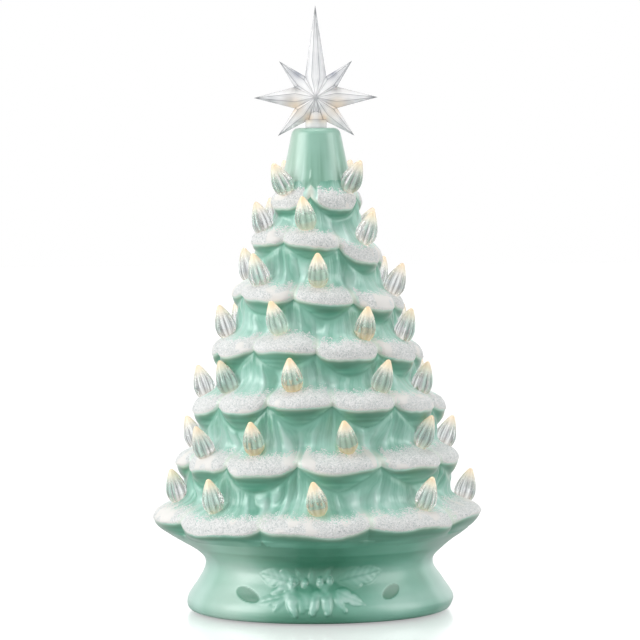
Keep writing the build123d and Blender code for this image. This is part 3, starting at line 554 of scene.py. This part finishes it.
def foot_relief():
    """Height of the relief, and how far each point lies on one of the smooth patches."""
    relief = np.zeros_like(radius)
    for place in LEAVES:
        relief = np.maximum(relief, leaf(*place))
    relief = relief + hump(RELIEF.mound_arc, arc, 4) * hump(RELIEF.mound_height, grid_z, 4)
    uneven = 1.0 + RELIEF.uneven * (ring_noise(150, 3.2, 41) - 0.5)
    for place in PETALS:
        relief = smooth_max(relief, petal(*place) * uneven, RELIEF.blend)
    relief = np.maximum(relief - RELIEF.ground, 0.0)
    patches = np.zeros_like(radius)
    for middle_a, middle_z, heading, long, wide in PATCHES:
        p, q = turned(middle_a, middle_z, heading)
        patches = np.maximum(patches, smooth(*RELIEF.patch_edge, np.hypot(p / long, q / wide)))
    on_foot = smooth(*RELIEF.top, grid_z) * smooth(*RELIEF.sides, np.abs(grid_a))
    return relief * on_foot, patches * on_foot


# Tone and cream on the foot and the trunk: painted highlight on the left, painted shade in the foot's front
# middle, under its flare and down the trunk's right
FOOT = Values(
    base=0.34, neck=(0.30, 33, 46), bulge=0.10, bulge_band=(5, 12, 16, 24), cloud=0.20,
    outline=(0.22, 0.1, 0.5), outline_end=(2.4, 1.2), crest=0.14, crest_zone=(1.3, 2.6),
    leaf_crest=(0.20, 13, 22), leaf_middle=-5, patch=0.70, left=(0.26, -58, 26),
    right=(0.08, 60, 26), middle=(1, -2, 34), deep=0.20, deep_neck=(0.20, 26, 36),
    deep_low=(0.14, 12, 5), cream=(0.20, -60, 26), top=70,
)
TRUNK = Values(
    base=0.48, right=0.14, streak=0.34, thread=0.22, streak_zone=(302, 276), root=(0.06, 280, 268),
    cream=0.12, left_cream=(0.20, 0.3, 0.95), bottom=240,
)


def foot_tone(relief, patches):
    """Painted highlight to the left and a little to the right, painted shade in the front middle behind the
    relief and at the bottom, deeper under the flare as painted shade and deeper glaze, paler on the bulge,
    glaze pooled round the relief, and the smooth patches deeper as pooled glaze and painted shade.
    """
    crest = FOOT.crest + term(FOOT.leaf_crest, np.abs(arc - FOOT.leaf_middle))
    # Painted shade in the front middle, more under the flare and at the bottom
    deep = FOOT.deep + term(FOOT.deep_neck, grid_z) + term(FOOT.deep_low, grid_z)
    return (
        # Deeper under the flare, partly deeper glaze and partly painted shade; paler on the bulge
        FOOT.base + term(FOOT.neck, grid_z) - FOOT.bulge * band(FOOT.bulge_band, grid_z)
        # Deeper on the smooth patches: pooled glaze, and painted shade where their flat faces take no sheen
        + FOOT.cloud * (ring_noise(16, 7.0, 31) - 0.5) + FOOT.patch * patches
        + term(FOOT.outline, relief) * smooth(*FOOT.outline_end, relief)
        - crest * smooth(*FOOT.crest_zone, relief)
        # Painted highlight to the left and a little to the right, painted shade in the front middle
        - hump(FOOT.left, arc) - hump(FOOT.right, arc) + deep * hump(FOOT.middle, arc)
    )


def trunk_tone():
    """Streaks that run down the trunk, with painted shade deeper to the right."""
    thread = ring_noise(120, 20.0, 6) - 0.5
    streaks = (TRUNK.streak * streak + TRUNK.thread * thread) * smooth(*TRUNK.streak_zone, grid_z)
    return TRUNK.base + TRUNK.right * right_side[:, None] + streaks + term(TRUNK.root, grid_z)


relief, patches = foot_relief()
radius = radius + relief - RELIEF.patch_sink * patches
on_base = (owner < 0) & (grid_z < FOOT.top)
on_trunk = (owner < 0) & (grid_z > TRUNK.bottom)
pool_and_shade = np.where(on_base, foot_tone(relief, patches), pool_and_shade)
pool_and_shade = np.clip(np.where(on_trunk, trunk_tone(), pool_and_shade), 0.0, 1.0)
# Cream on the trunk, with more painted on its left as a highlight; on the foot only a cream painted highlight
# to the left, kept off the smooth patches
trunk_cream_and_highlight = TRUNK.cream + term(TRUNK.left_cream, -np.sin(turn))[:, None]
cream = np.where(on_trunk, trunk_cream_and_highlight, cream)
cream = np.where(on_base, (1 - patches) * hump(FOOT.cream, arc), cream)


def mesh_object(name, points, faces, attributes=None, sharp=False):
    """Object from points in millimetres, faces and values per point."""
    mesh = bpy.data.meshes.new(name)
    mesh.from_pydata(np.asarray(points) * MM, [], np.asarray(faces))
    mesh.validate()
    mesh.polygons.foreach_set("use_smooth", np.full(len(mesh.polygons), not sharp))
    for label, values in (attributes or {}).items():
        layer = mesh.attributes.new(label, "FLOAT", "POINT")
        layer.data.foreach_set("value", np.asarray(values).astype(np.float32).ravel())
    thing = bpy.data.objects.new(name, mesh)
    bpy.context.scene.collection.objects.link(thing)
    return thing


def ring(r, z, turns):
    """Points round the axis, one per turn in radians from the front."""
    return np.stack([r * np.sin(turns), -r * np.cos(turns), np.zeros(len(turns)) + z], 1)


def ring_faces(count, rings, closed=False):
    """Quads between rings of so many points; the last ring joins the first one if closed."""
    a = np.arange(count)
    b = (a + 1) % count
    faces = []
    for number in range(rings if closed else rings - 1):
        low, high = number * count, ((number + 1) % rings) * count
        faces.append(np.stack([low + a, low + b, high + b, high + a], 1))
    return np.concatenate(faces)


# Shell: outside rows, then over the trunk top, down the hollow and out to the foot again
TOP_SHARE, HOLE_ROUND, INSIDE_TONE = 0.75, 0.6, 0.35
inside = [(radius[:, -1].mean() * TOP_SHARE, TRUNK_TOP), (STAR_HOLE + HOLE_ROUND, TRUNK_TOP)]
inside += [(STAR_HOLE, TRUNK_TOP - HOLE_ROUND), *reversed(HOLLOW)]
inside += [(r, FOOT_LEVEL) for r in UNDERSIDE_RADII]
shell_rings = [ring(radius[:, row], z, turn) for row, z in enumerate(rows)]
shell_rings += [ring(r, z, turn) for r, z in inside]


def flat(values, fill=0.0):
    """Values in the order of the shell's points, with one for the whole inside."""
    return np.concatenate([values.T.ravel(), np.full(COLUMNS * len(inside), fill)])


shell = mesh_object(
    "tree_shell_glazed", np.concatenate(shell_rings), ring_faces(COLUMNS, len(shell_rings), closed=True),
    {"snow": flat(snow), "grain": flat(grain), "pool_and_shade": flat(pool_and_shade, INSIDE_TONE), "cream": flat(cream),
     "fur": flat(fur)},
)
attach(shell, "tree")
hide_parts("tree_shell")

# Bulbs: height shares with the outline's width, and with the depth of the flutes, as shares of the radius
BULB_OUTLINE = (
    (-0.03, 0.55), (0, 0.61), (0.1, 0.84), (0.29, 1), (0.54, 0.86), (0.79, 0.53), (0.96, 0.22),
)
BULB_FLUTES = ((0, 0), (0.1, 0.06), (0.29, 0.1), (0.54, 0.1), (0.79, 0.03), (0.96, 0), (1, 0))
NOSE_SHARES = (0.935, 0.962, 0.982, 0.993, 0.999)
BULB_FULLNESS = 1.06
FLUTE_POINTS, FLUTE_SHADE = 6, 10
PEG_CHAMFER, PEG_MIDDLE = 0.3, 0.02
# How far to the side, in degrees, bulbs still glow like those in front: a brighter painted glow in the nose
# and pale flutes, where bulbs to the side get flutes painted darker
FACING = (62, 24)
# How strongly the feet of some bulbs are painted amber, as the lamp's light seen through them, by azimuth in
# each tier
AMBER_FEET = ({}, {-13: 0.35}, {0: 0.5}, {32: 0.8}, {-13: 1}, {-30: 1, 14: 1}, {0: 0.9})


def bulb_form():
    """Points, faces, rise and flute shade of one bulb: a ridged flame on its peg."""
    flute = np.radians(np.arange(BULB_RIDGES * FLUTE_POINTS) * 360.0 / (BULB_RIDGES * FLUTE_POINTS))
    groove = 0.5 - 0.5 * np.cos(BULB_RIDGES * flute)
    rise = np.concatenate([np.linspace(0.0, 0.9, 19), NOSE_SHARES])
    heights, widths = np.array(BULB_OUTLINE).T
    nose = widths[-1] * np.sqrt(np.clip((1.0 - rise) / (1.0 - heights[-1]), 0.0, 1.0))
    outline = curve(heights[None], widths[None], rise[None])[0]
    outline = np.where(rise > heights[-1], nose, outline)
    depth = np.interp(rise, *np.array(BULB_FLUTES).T)
    peg = ((PEG_MIDDLE, -PEG_LENGTH), (PEG_RADIUS - PEG_CHAMFER, -PEG_LENGTH),
           (PEG_RADIUS, PEG_CHAMFER - PEG_LENGTH), (PEG_RADIUS, 0.0))
    rings = [ring(r, z, flute) for r, z in peg]
    shades = [np.zeros(len(flute))] * len(peg)
    for share, wide, dent in zip(rise, outline, depth):
        rings.append(ring(BULB_FULLNESS * BULB_RADIUS * (wide - dent * groove), share * BULB_HEIGHT, flute))
        shades.append(np.clip(dent * FLUTE_SHADE, 0.0, 1.0) * groove ** 2)
    faces = ring_faces(len(flute), len(rings))
    rises = np.repeat([0.0] * len(peg) + list(rise), len(flute))
    return np.concatenate(rings), faces, rises, np.concatenate(shades)


def shift(x, y, z):
    return Matrix.Translation((x, y, z))


def spin(degrees, axis):
    return Matrix.Rotation(math.radians(degrees), 4, axis)


def bulb_matrices(tier):
    """Where each bulb of a tier stands, as in the solids."""
    reach, rise = tier.tip_r - tier.root_r, tier.root_z - tier.tip_z
    slope = math.hypot(reach, rise)
    seat_r, seat_z = tier.root_r + SEAT_REACH * reach, tier.root_z - SEAT_DROP * rise
    found = []
    for azimuth, lift, sway in tier.bulbs:
        past = min((azimuth - b) % 360.0 for b, d in tier.branches)
        ahead = min((b - azimuth) % 360.0 for b, d in tier.branches)
        beside = 2 * min(past, ahead) / (past + ahead) if past else 0.0
        dip = SEAT_VALLEY * tier.valley * beside ** 2
        level = shift(0, 0, tier.tip_z) @ spin(tier.nod, "X") @ spin(tier.tilt, "Y")
        level = level @ shift(0, 0, seat_z + lift * rise / slope - tier.tip_z)
        stand = spin(azimuth, "Z") @ shift(0, dip + lift * reach / slope - seat_r, 0)
        stand = stand @ spin(tier.lean, "X") @ spin(sway, "Y") @ shift(0, 0, -SEAT_SINK)
        found.append(np.array(level @ stand))
    return found


bulb_points, bulb_faces, bulb_rise, bulb_shade = bulb_form()
bulb_objects = []
for number, tier in enumerate(TIERS, start=1):
    places = bulb_matrices(tier)
    points = np.concatenate([bulb_points @ m[:3, :3].T + m[:3, 3] for m in places])
    faces = np.concatenate([bulb_faces + i * len(bulb_points) for i in range(len(places))])
    azimuths = [azimuth for azimuth, lift, sway in tier.bulbs]
    facing = [smooth(*FACING, abs((azimuth + 180.0) % 360.0 - 180.0)) for azimuth in azimuths]
    foot_glow = [AMBER_FEET[number - 1].get(azimuth, 0.0) for azimuth in azimuths]
    bulbs = mesh_object(f"clear_bulbs_{number}", points, faces, {
        "rise": np.tile(bulb_rise, len(places)), "shade": np.tile(bulb_shade, len(places)),
        "front_facing": np.repeat(facing, len(bulb_points)), "foot_glow": np.repeat(foot_glow, len(bulb_points)),
    })
    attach(bulbs, "tree")
    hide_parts(f"bulbs_tier_{number}")
    bulb_objects.append(bulbs)

# Star: the solid's facets are cut small, so that each point holds how far its facet's edges are
STAR_CUTS = 9
FLAT_COSINE, BENT_COSINE = 0.9995, 0.96
EMPTY_AREA, FACET_ROUNDS, FAR_FROM_EDGE = 1e-6, 40, 9.0
# Spots on the star: warm and cool painted reflections, dim painted shade and a paler middle: way to the
# right, height and width
STAR_SPOTS = {
    "warm": ((-13.5, 317.5, 5), (13.5, 317.5, 5), (-4.6, 310, 3.2), (4.6, 310, 3.2)),
    "cool": ((-10.8, 339, 3.8), (10.2, 338.5, 3.4)),
    "dim": ((-12.5, 328.6, 2.4), (12.5, 328.4, 2.4), (-17, 322, 2.8), (-35.5, 325.4, 2.6),
            (35.5, 325, 2.6)),
    "core": ((0, 326, 9),),
}


def solid_triangles(mesh):
    """Points in millimetres, triangles and normals, with nothing doubled or empty."""
    mesh.calc_loop_triangles()
    places = np.array([v.co[:] for v in mesh.vertices]) / MM
    points, same = np.unique(places.round(3), axis=0, return_inverse=True)
    tris = same.reshape(-1)[np.array([t.vertices[:] for t in mesh.loop_triangles])]
    first, second, third = points[tris].transpose(1, 0, 2)
    normals = np.cross(second - first, third - first)
    size = np.linalg.norm(normals, axis=1)
    keep = size > EMPTY_AREA
    return points, tris[keep], normals[keep] / size[keep][:, None]


def facet_edges(tris, normals):
    """Facet of each triangle, and the bent edges that bound each facet."""
    owners = {}
    for number, tri in enumerate(tris):
        for i in range(3):
            owners.setdefault(tuple(sorted((tri[i], tri[(i + 1) % 3]))), []).append(number)
    pairs = {edge: found for edge, found in owners.items() if len(found) == 2}
    cosine = {edge: normals[found[0]] @ normals[found[1]] for edge, found in pairs.items()}
    facet = np.arange(len(tris))
    for _ in range(FACET_ROUNDS):
        for edge, (first, second) in pairs.items():
            if cosine[edge] > FLAT_COSINE:
                facet[first] = facet[second] = min(facet[first], facet[second])
    edges = {}
    for edge, found in pairs.items():
        if cosine[edge] < BENT_COSINE:
            for number in found:
                edges.setdefault(facet[number], []).append(edge)
    return facet, edges


def facet_mesh(name, source, cuts):
    """A solid cut into small triangles, with each point's way to its facet's nearest edge."""
    keys, tris, normals = solid_triangles(source)
    facet, edges = facet_edges(tris, normals)
    steps = [(i, j) for i in range(cuts + 1) for j in range(cuts + 1 - i)]
    at = {step: place for place, step in enumerate(steps)}
    pattern = [(at[i, j], at[i + 1, j], at[i, j + 1]) for i, j in steps if i + j < cuts]
    pattern += [(at[i + 1, j], at[i + 1, j + 1], at[i, j + 1]) for i, j in steps if i + j < cuts - 1]
    points, faces, rim = [], [], []
    for number, (first, second, third) in enumerate(keys[tris]):
        local = np.array([first + (second - first) * i / cuts + (third - first) * j / cuts for i, j in steps])
        near = np.full(len(local), FAR_FROM_EDGE)
        for p, q in edges.get(facet[number], ()):
            line = keys[q] - keys[p]
            share = np.clip(((local - keys[p]) @ line) / max(line @ line, 1e-9), 0.0, 1.0)
            near = np.minimum(near, np.linalg.norm(local - keys[p] - share[:, None] * line, axis=1))
        points.append(local)
        rim.append(near)
        faces.append(np.array(pattern) + number * len(steps))
    whole, merged = np.unique(np.concatenate(points).round(4), axis=0, return_inverse=True)
    merged = merged.reshape(-1)
    near = np.full(len(whole), FAR_FROM_EDGE)
    np.minimum.at(near, merged, np.concatenate(rim))
    values = {"rim": near}
    for label, spots in STAR_SPOTS.items():
        spread = (bell(np.hypot(whole[:, 0] - x, whole[:, 2] - z), wide) for x, z, wide in spots)
        values[label] = np.clip(sum(spread), 0.0, 1.0)
    return mesh_object(name, whole, merged[np.concatenate(faces)], values, sharp=True)


star = facet_mesh("star_faceted", nodes["star_topper"].data, STAR_CUTS)
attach(star, "star")
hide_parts("star_topper")

# Materials, all from procedural nodes; ramps hold places from 0 to 1 and colours as they show
WHITE = (1.0, 1.0, 1.0, 1.0)
GLAZE_TONES = ((0, "C9E9DF"), (0.22, "ABDACB"), (0.45, "84C2AD"), (0.70, "5CA48A"), (1, "3B8468"))
# Snow grains run from grey to white; the grey specks are painted shade between the grains
SPECK_TONES = ((0, "B0BAB9"), (0.18, "D2D7D6"), (0.5, "E5E7E5"), (1, "FFFFFF"))
CREAM_COLOUR, SMOOTH_SNOW = "E3DFD0", "EFEDE9"
GLOW_TONES = ((0.50, "FCFAF6"), (0.78, "FEF3E0"), (1, "FCE0B6"))
# Amber of the bulbs' feet, painted for the lamp's light seen through them
HONEY_TONES = ((0, "FBE8C4"), (0.06, "EACB98"), (0.2, "E3C594"), (0.3, "DABF95"))
WARM_TONES = (
    (0, "806A4A"), (0.10, "5E4E38"), (0.32, "444544"), (0.60, "66635E"), (0.85, "85765F"), (1, "9C846A"),
)
# Flutes painted dark for the dark they refract, and clear bodies painted greyer, both more on bulbs to the
# side than in front
FLUTE_COLOURS, CLEAR_COLOURS = ("3E4448", "868E8C"), ("E2E5E6", "FBFCFB")
# Greys painted on the star's facets for the light they catch and the dark they refract, by way to the facet's
# edge and by slope
CUT_TONES = (
    (0, "707070"), (0.14, "F0F0F0"), (0.30, "B8B8B8"), (0.44, "FFFFFF"), (0.60, "DADADA"), (0.80, "FFFFFF"),
)
STAR_TONES = ((0.10, "7C8084"), (0.30, "B4B7BA"), (0.50, "DFE1E3"), (0.68, "F5F5F6"), (0.85, "FFFFFF"))
# Painted reflections and shade on the star: how strongly they show, and their colour
SPOT_TINTS = {"warm": (0.85, "F0D9B8"), "cool": (0.85, "5C6884"), "dim": (0.45, "6A6C6E")}
# Grey edge lines painted as the dark the star's clear edges refract
STAR_LINE = "6E7276"
PLAIN_SPREAD, PLAIN_BUMP = 0.10, 0.12


def linear(*values):
    """Colour for a shader from display values of 0 to 1."""
    return tuple(v / 12.92 if v <= 0.04045 else ((v + 0.055) / 1.055) ** 2.4 for v in values) + (1.0,)


def hex_colour(code):
    return linear(*(int(code[i:i + 2], 16) / 255.0 for i in (0, 2, 4)))


class Nodes:
    """Lays out the nodes of a material or world; in labels an underscore stands for a space."""

    def __init__(self, owner, shader="Principled BSDF"):
        owner.use_nodes = True
        self.owner = owner
        self.tree = owner.node_tree
        self.shader = self.tree.nodes[shader]

    def connect(self, socket, value):
        """Feeds a socket from another one, or gives it a number, a vector or a colour code."""
        if isinstance(value, bpy.types.NodeSocket):
            self.tree.links.new(value, socket)
        else:
            socket.default_value = hex_colour(value) if isinstance(value, str) else value

    def set(self, node, **inputs):
        for label, value in inputs.items():
            self.connect(node.inputs[label.replace("_", " ")], value)
        return node

    def add(self, kind, **inputs):
        return self.set(self.tree.nodes.new(kind), **inputs)

    def attribute(self, label):
        node = self.add("ShaderNodeAttribute")
        node.attribute_name = label
        return node.outputs["Fac"]

    def math(self, kind, a, b):
        node = self.add("ShaderNodeMath")
        node.operation = kind
        self.connect(node.inputs[0], a)
        self.connect(node.inputs[1], b)
        return node.outputs[0]

    def plus(self, a, b):
        return self.math("ADD", a, b)

    def minus(self, a, b):
        return self.math("SUBTRACT", a, b)

    def times(self, a, b):
        return self.math("MULTIPLY", a, b)

    def mix(self, share, first, second):
        node = self.add("ShaderNodeMix")
        node.data_type = "RGBA"
        for number, value in ((0, share), (6, first), (7, second)):
            self.connect(node.inputs[number], value)
        return node.outputs[2]

    def ramp(self, value, stops):
        node = self.add("ShaderNodeValToRGB", Fac=value)
        while len(node.color_ramp.elements) < len(stops):
            node.color_ramp.elements.new(0.5)
        for element, (place, code) in zip(node.color_ramp.elements, stops):
            element.position = place
            element.color = hex_colour(code)
        return node.outputs[0]

    def step(self, value, low, high):
        return self.ramp(value, ((low, "000000"), (high, "FFFFFF")))

    def fall(self, value, low, high):
        return self.ramp(value, ((low, "FFFFFF"), (high, "000000")))

    def coords(self, kind="Object"):
        return self.add("ShaderNodeTexCoord").outputs[kind]

    def noise(self, scale, detail=3.0, rough=0.5, stretch=None):
        coords = self.coords()
        if stretch:
            coords = self.add("ShaderNodeMapping", Vector=coords, Scale=stretch).outputs["Vector"]
        node = self.add("ShaderNodeTexNoise", Vector=coords, Scale=scale, Detail=detail, Roughness=rough)
        return node.outputs[0]

    def bump(self, height, strength, distance):
        node = self.add("ShaderNodeBump", Height=height, Strength=strength, Distance=distance)
        return node.outputs["Normal"]


def glaze_material():
    """Mint glaze, deeper where it pools and where shade is painted, with needle lines, cream where it is thin
    or painted as a highlight, and speckled snow with grey specks painted as shade between its grains.
    """
    m = Nodes(bpy.data.materials.new("mint_glaze_with_snow"))
    cloud = m.minus(m.noise(45.0), 0.5)
    needle = m.times(m.minus(m.noise(420.0, 2.0, stretch=(1.0, 1.0, 0.12)), 0.5), m.attribute("fur"))
    pool_and_shade = m.plus(m.plus(m.attribute("pool_and_shade"), m.times(cloud, 0.26)), m.times(needle, 0.12))
    glaze = m.mix(m.attribute("cream"), m.ramp(pool_and_shade, GLAZE_TONES), CREAM_COLOUR)
    cells = m.add("ShaderNodeTexVoronoi", Vector=m.coords(), Scale=1450.0)
    grain = m.attribute("grain")
    # Grainy snow gets grey specks, painted shade between its grains
    flake = m.mix(grain, SMOOTH_SNOW, m.ramp(cells.outputs["Color"], SPECK_TONES))
    scatter = m.times(m.minus(cells.outputs["Color"], 0.5), 0.75)
    snow = m.step(m.plus(m.attribute("snow"), scatter), 0.42, 0.56)
    bare = m.minus(1.0, snow)
    grit = m.times(m.times(cells.outputs["Distance"], m.times(grain, snow)), -1.0)
    height = m.plus(grit, m.times(m.times(needle, bare), 0.25))
    m.set(
        m.shader, Base_Color=m.mix(snow, glaze, flake), Roughness=m.plus(m.times(snow, 0.26), 0.30), IOR=1.5,
        Normal=m.bump(height, 0.45, 0.0008), Coat_Weight=bare, Coat_IOR=1.55, Coat_Roughness=0.35,
    )
    return m.owner


def bulb_material():
    """Clear plastic with flutes painted grey for the dark they refract, a lit nose painted paler on bulbs
    that face the front, and an amber foot painted for the lamp's light seen through it where a bulb has one.
    """
    m = Nodes(bpy.data.materials.new("clear_lit_bulb"))
    rise, shade, front_facing = m.attribute("rise"), m.attribute("shade"), m.attribute("front_facing")
    streak = m.minus(m.noise(900.0, 1.0), 0.5)
    level = m.minus(m.plus(rise, m.times(streak, 0.22)), m.times(shade, 0.06))
    # Painted glow: the nose is painted paler and brighter on bulbs that face the front
    lit = m.times(m.step(level, 0.50, 0.76), m.plus(m.times(front_facing, 0.45), 0.55))
    # Painted light: an amber foot stands for the lamp's light seen through the bulb's foot
    foot = m.fall(m.plus(rise, m.times(streak, 0.05)), 0.24, 0.30)
    foot = m.times(m.times(foot, m.attribute("foot_glow")), 0.75)
    # Flutes painted grey for the dark they refract, darker on bulbs to the side
    clear = m.mix(m.times(shade, 0.85), m.mix(front_facing, *CLEAR_COLOURS), m.mix(front_facing, *FLUTE_COLOURS))
    body = m.mix(lit, clear, m.ramp(rise, GLOW_TONES))
    cloudy = m.times(m.math("MAXIMUM", lit, foot), 0.62)
    m.set(
        m.shader, Base_Color=m.mix(foot, body, m.ramp(rise, HONEY_TONES)), IOR=1.45,
        Roughness=m.plus(m.times(m.noise(220.0, 2.0), 0.06), 0.02), Transmission_Weight=m.minus(0.90, cloudy),
        Emission_Color=m.ramp(rise, WARM_TONES), Emission_Strength=0.8,
    )
    return m.owner


def star_material():
    """Clear cut plastic with painted light: facets paler or greyer by slope and by way to the facet's edge,
    spots of painted reflection and shade, and grey edges painted as the dark the clear edges refract.
    """
    m = Nodes(bpy.data.materials.new("clear_star"))
    normal = m.add("ShaderNodeSeparateXYZ", Vector=m.coords("Normal"))
    rim, core = m.attribute("rim"), m.attribute("core")
    cloud = m.noise(110.0, 2.0)
    # Painted light: facets facing up and to the left are paler
    tone = m.plus(m.times(normal.outputs["X"], -0.12), m.times(normal.outputs["Z"], 0.22))
    tone = m.plus(tone, m.plus(m.times(m.ramp(m.times(rim, 0.3), CUT_TONES), 0.45), 0.25))
    tone = m.plus(tone, m.times(m.minus(cloud, 0.5), 0.7))
    body = m.ramp(m.plus(tone, m.times(core, 0.14)), STAR_TONES)
    for label, (share, code) in SPOT_TINTS.items():
        body = m.mix(m.times(m.attribute(label), share), body, code)
    line = m.times(m.fall(rim, 0.0, 0.45), m.minus(0.72, m.times(core, 0.30)))
    m.set(
        m.shader, Base_Color=m.mix(line, body, STAR_LINE), Roughness=m.times(cloud, 0.08), IOR=1.25,
        Transmission_Weight=0.50, Emission_Color=WHITE, Emission_Strength=0.10,
    )
    return m.owner


def plain_material(name, colour, rough, scale, metal=0.0, stretch=None, bump=PLAIN_BUMP):
    """One colour with faint clouds in tone, roughness and height."""
    m = Nodes(bpy.data.materials.new(name))
    cloud = m.noise(scale, 4.0, 0.55, stretch)
    colour = linear(*colour)[:3]
    dark = tuple(c * (1 - PLAIN_SPREAD) for c in colour) + (1.0,)
    light = tuple(min(1.0, c * (1 + PLAIN_SPREAD)) for c in colour) + (1.0,)
    m.set(
        m.shader, Base_Color=m.mix(cloud, dark, light), Roughness=m.plus(m.times(cloud, 0.16), rough - 0.08),
        Metallic=metal, Normal=m.bump(cloud, bump, 0.0004),
    )
    return m.owner


def paint(thing, material):
    thing.data.materials.clear()
    thing.data.materials.append(material)


# Finishes of the other solids by how their names start, as plain_material takes them
FINISHES = {
    "foot_pads": ("pad_foam", (0.20, 0.20, 0.20), 0.85, 900, 0, None, 0.4),
    "lamp_tray": ("tray_plastic", (0.90, 0.90, 0.88), 0.45, 500),
    "battery_door": ("door_plastic", (0.88, 0.88, 0.86), 0.45, 500),
    "door_screws": ("screw_steel", (0.70, 0.70, 0.70), 0.32, 700, 1),
    "slide_switch": ("switch_steel", (0.72, 0.72, 0.72), 0.35, 400, 1, (1, 8, 1)),
    "switch_knob": ("knob_plastic", (0.10, 0.10, 0.10), 0.5, 900),
    "lamp_post": ("post_plastic", (0.93, 0.93, 0.91), 0.4, 300),
    "led_board": ("board_mask", (0.10, 0.36, 0.21), 0.35, 260),
    "leds": ("diode_lens", (0.98, 0.90, 0.66), 0.15, 200),
    "lead_positive": ("wire_red", (0.72, 0.08, 0.06), 0.45, 300),
    "lead_switch": ("wire_black", (0.06, 0.06, 0.06), 0.45, 300),
    "lead_return": ("wire_black_return", (0.06, 0.06, 0.06), 0.45, 300),
    "cell_": ("cell_jacket", (0.16, 0.16, 0.17), 0.3, 240, 0.6, (8, 1, 1)),
    "contact_": ("contact_steel", (0.75, 0.74, 0.72), 0.28, 500, 1, (1, 1, 6)),
}
paint(shell, glaze_material())
paint(star, star_material())
lit_bulb = bulb_material()
for bulbs in bulb_objects:
    paint(bulbs, lit_bulb)
for start, finish in FINISHES.items():
    material = plain_material(*finish)
    for label, thing in nodes.items():
        if label.startswith(start):
            paint(thing, material)

# Stage: floor in millimetres; lights as name, place, aim, size and power, and the camera, in metres
FLOOR_HALF = 6000
FLOOR_GREYS, FLOOR_GLOW = ((0.60, 0.60, 0.60, 1), (0.62, 0.62, 0.62, 1)), 0.42
STUDIO_UNSEEN, STUDIO_SEEN = 0.40, 1
LIGHTS = (
    ("key", (-1.9, -0.8, 1), (0, 0, 0.18), (1.6, 1.8), 32),
    ("fill", (1.9, -0.5, 0.9), (0, 0, 0.18), (1.2, 1.6), 15),
    ("top", (0, 0.3, 2.1), (0, 0, 0.2), (1.6, 1.6), 14),
)
CAMERA_PLACE, CAMERA_AIM, CAMERA_ROLL = (0.0016, -2.3, 0.3), (0.0016, 0, 0.183), -0.42
CAMERA_LENS, CAMERA_SENSOR = 205.5, 36


def floor():
    m = Nodes(bpy.data.materials.new("white_floor"))
    path = m.add("ShaderNodeLightPath").outputs
    seen = m.math("MAXIMUM", path["Is Camera Ray"], path["Is Transmission Ray"])
    m.set(
        m.shader, Base_Color=m.mix(m.noise(3.0), *FLOOR_GREYS), Roughness=0.12, Emission_Color=WHITE,
        Emission_Strength=m.times(seen, FLOOR_GLOW),
    )
    corners = [(FLOOR_HALF * x, FLOOR_HALF * y, 0.0) for x, y in ((-1, -1), (1, -1), (1, 1), (-1, 1))]
    thing = mesh_object("floor", corners, [[0, 1, 2, 3]])
    paint(thing, m.owner)


def place_object(name, data, place, rotation):
    thing = bpy.data.objects.new(name, data)
    thing.location = place
    thing.rotation_euler = rotation.to_euler()
    bpy.context.scene.collection.objects.link(thing)
    return thing


def facing_to(place, aim):
    return (Vector(aim) - Vector(place)).to_track_quat("-Z", "Y")


def light(name, place, aim, size, power):
    data = bpy.data.lights.new(name, "AREA")
    data.shape = "RECTANGLE"
    data.size, data.size_y = size
    data.energy = power
    place_object(name, data, place, facing_to(place, aim))


def world():
    """White studio, brighter as it is seen, also in reflections and through plastic, than as a light."""
    sky = bpy.data.worlds.new("studio")
    bpy.context.scene.world = sky
    m = Nodes(sky, "Background")
    path = m.add("ShaderNodeLightPath").outputs
    seen = m.math("MAXIMUM", path["Is Camera Ray"], path["Is Glossy Ray"])
    seen = m.math("MAXIMUM", seen, path["Is Transmission Ray"])
    level = m.add("ShaderNodeMapRange", Value=seen, To_Min=STUDIO_UNSEEN, To_Max=STUDIO_SEEN)
    m.set(m.shader, Color=WHITE, Strength=level.outputs[0])


def camera():
    data = bpy.data.cameras.new("camera")
    data.sensor_width = CAMERA_SENSOR
    data.lens = CAMERA_LENS
    rotation = facing_to(CAMERA_PLACE, CAMERA_AIM).to_matrix()
    rotation = rotation @ Matrix.Rotation(math.radians(CAMERA_ROLL), 3, "Z")
    bpy.context.scene.camera = place_object("camera", data, CAMERA_PLACE, rotation)


floor()
world()
for lamp in LIGHTS:
    light(*lamp)
camera()
bpy.context.scene.view_settings.view_transform = "Standard"
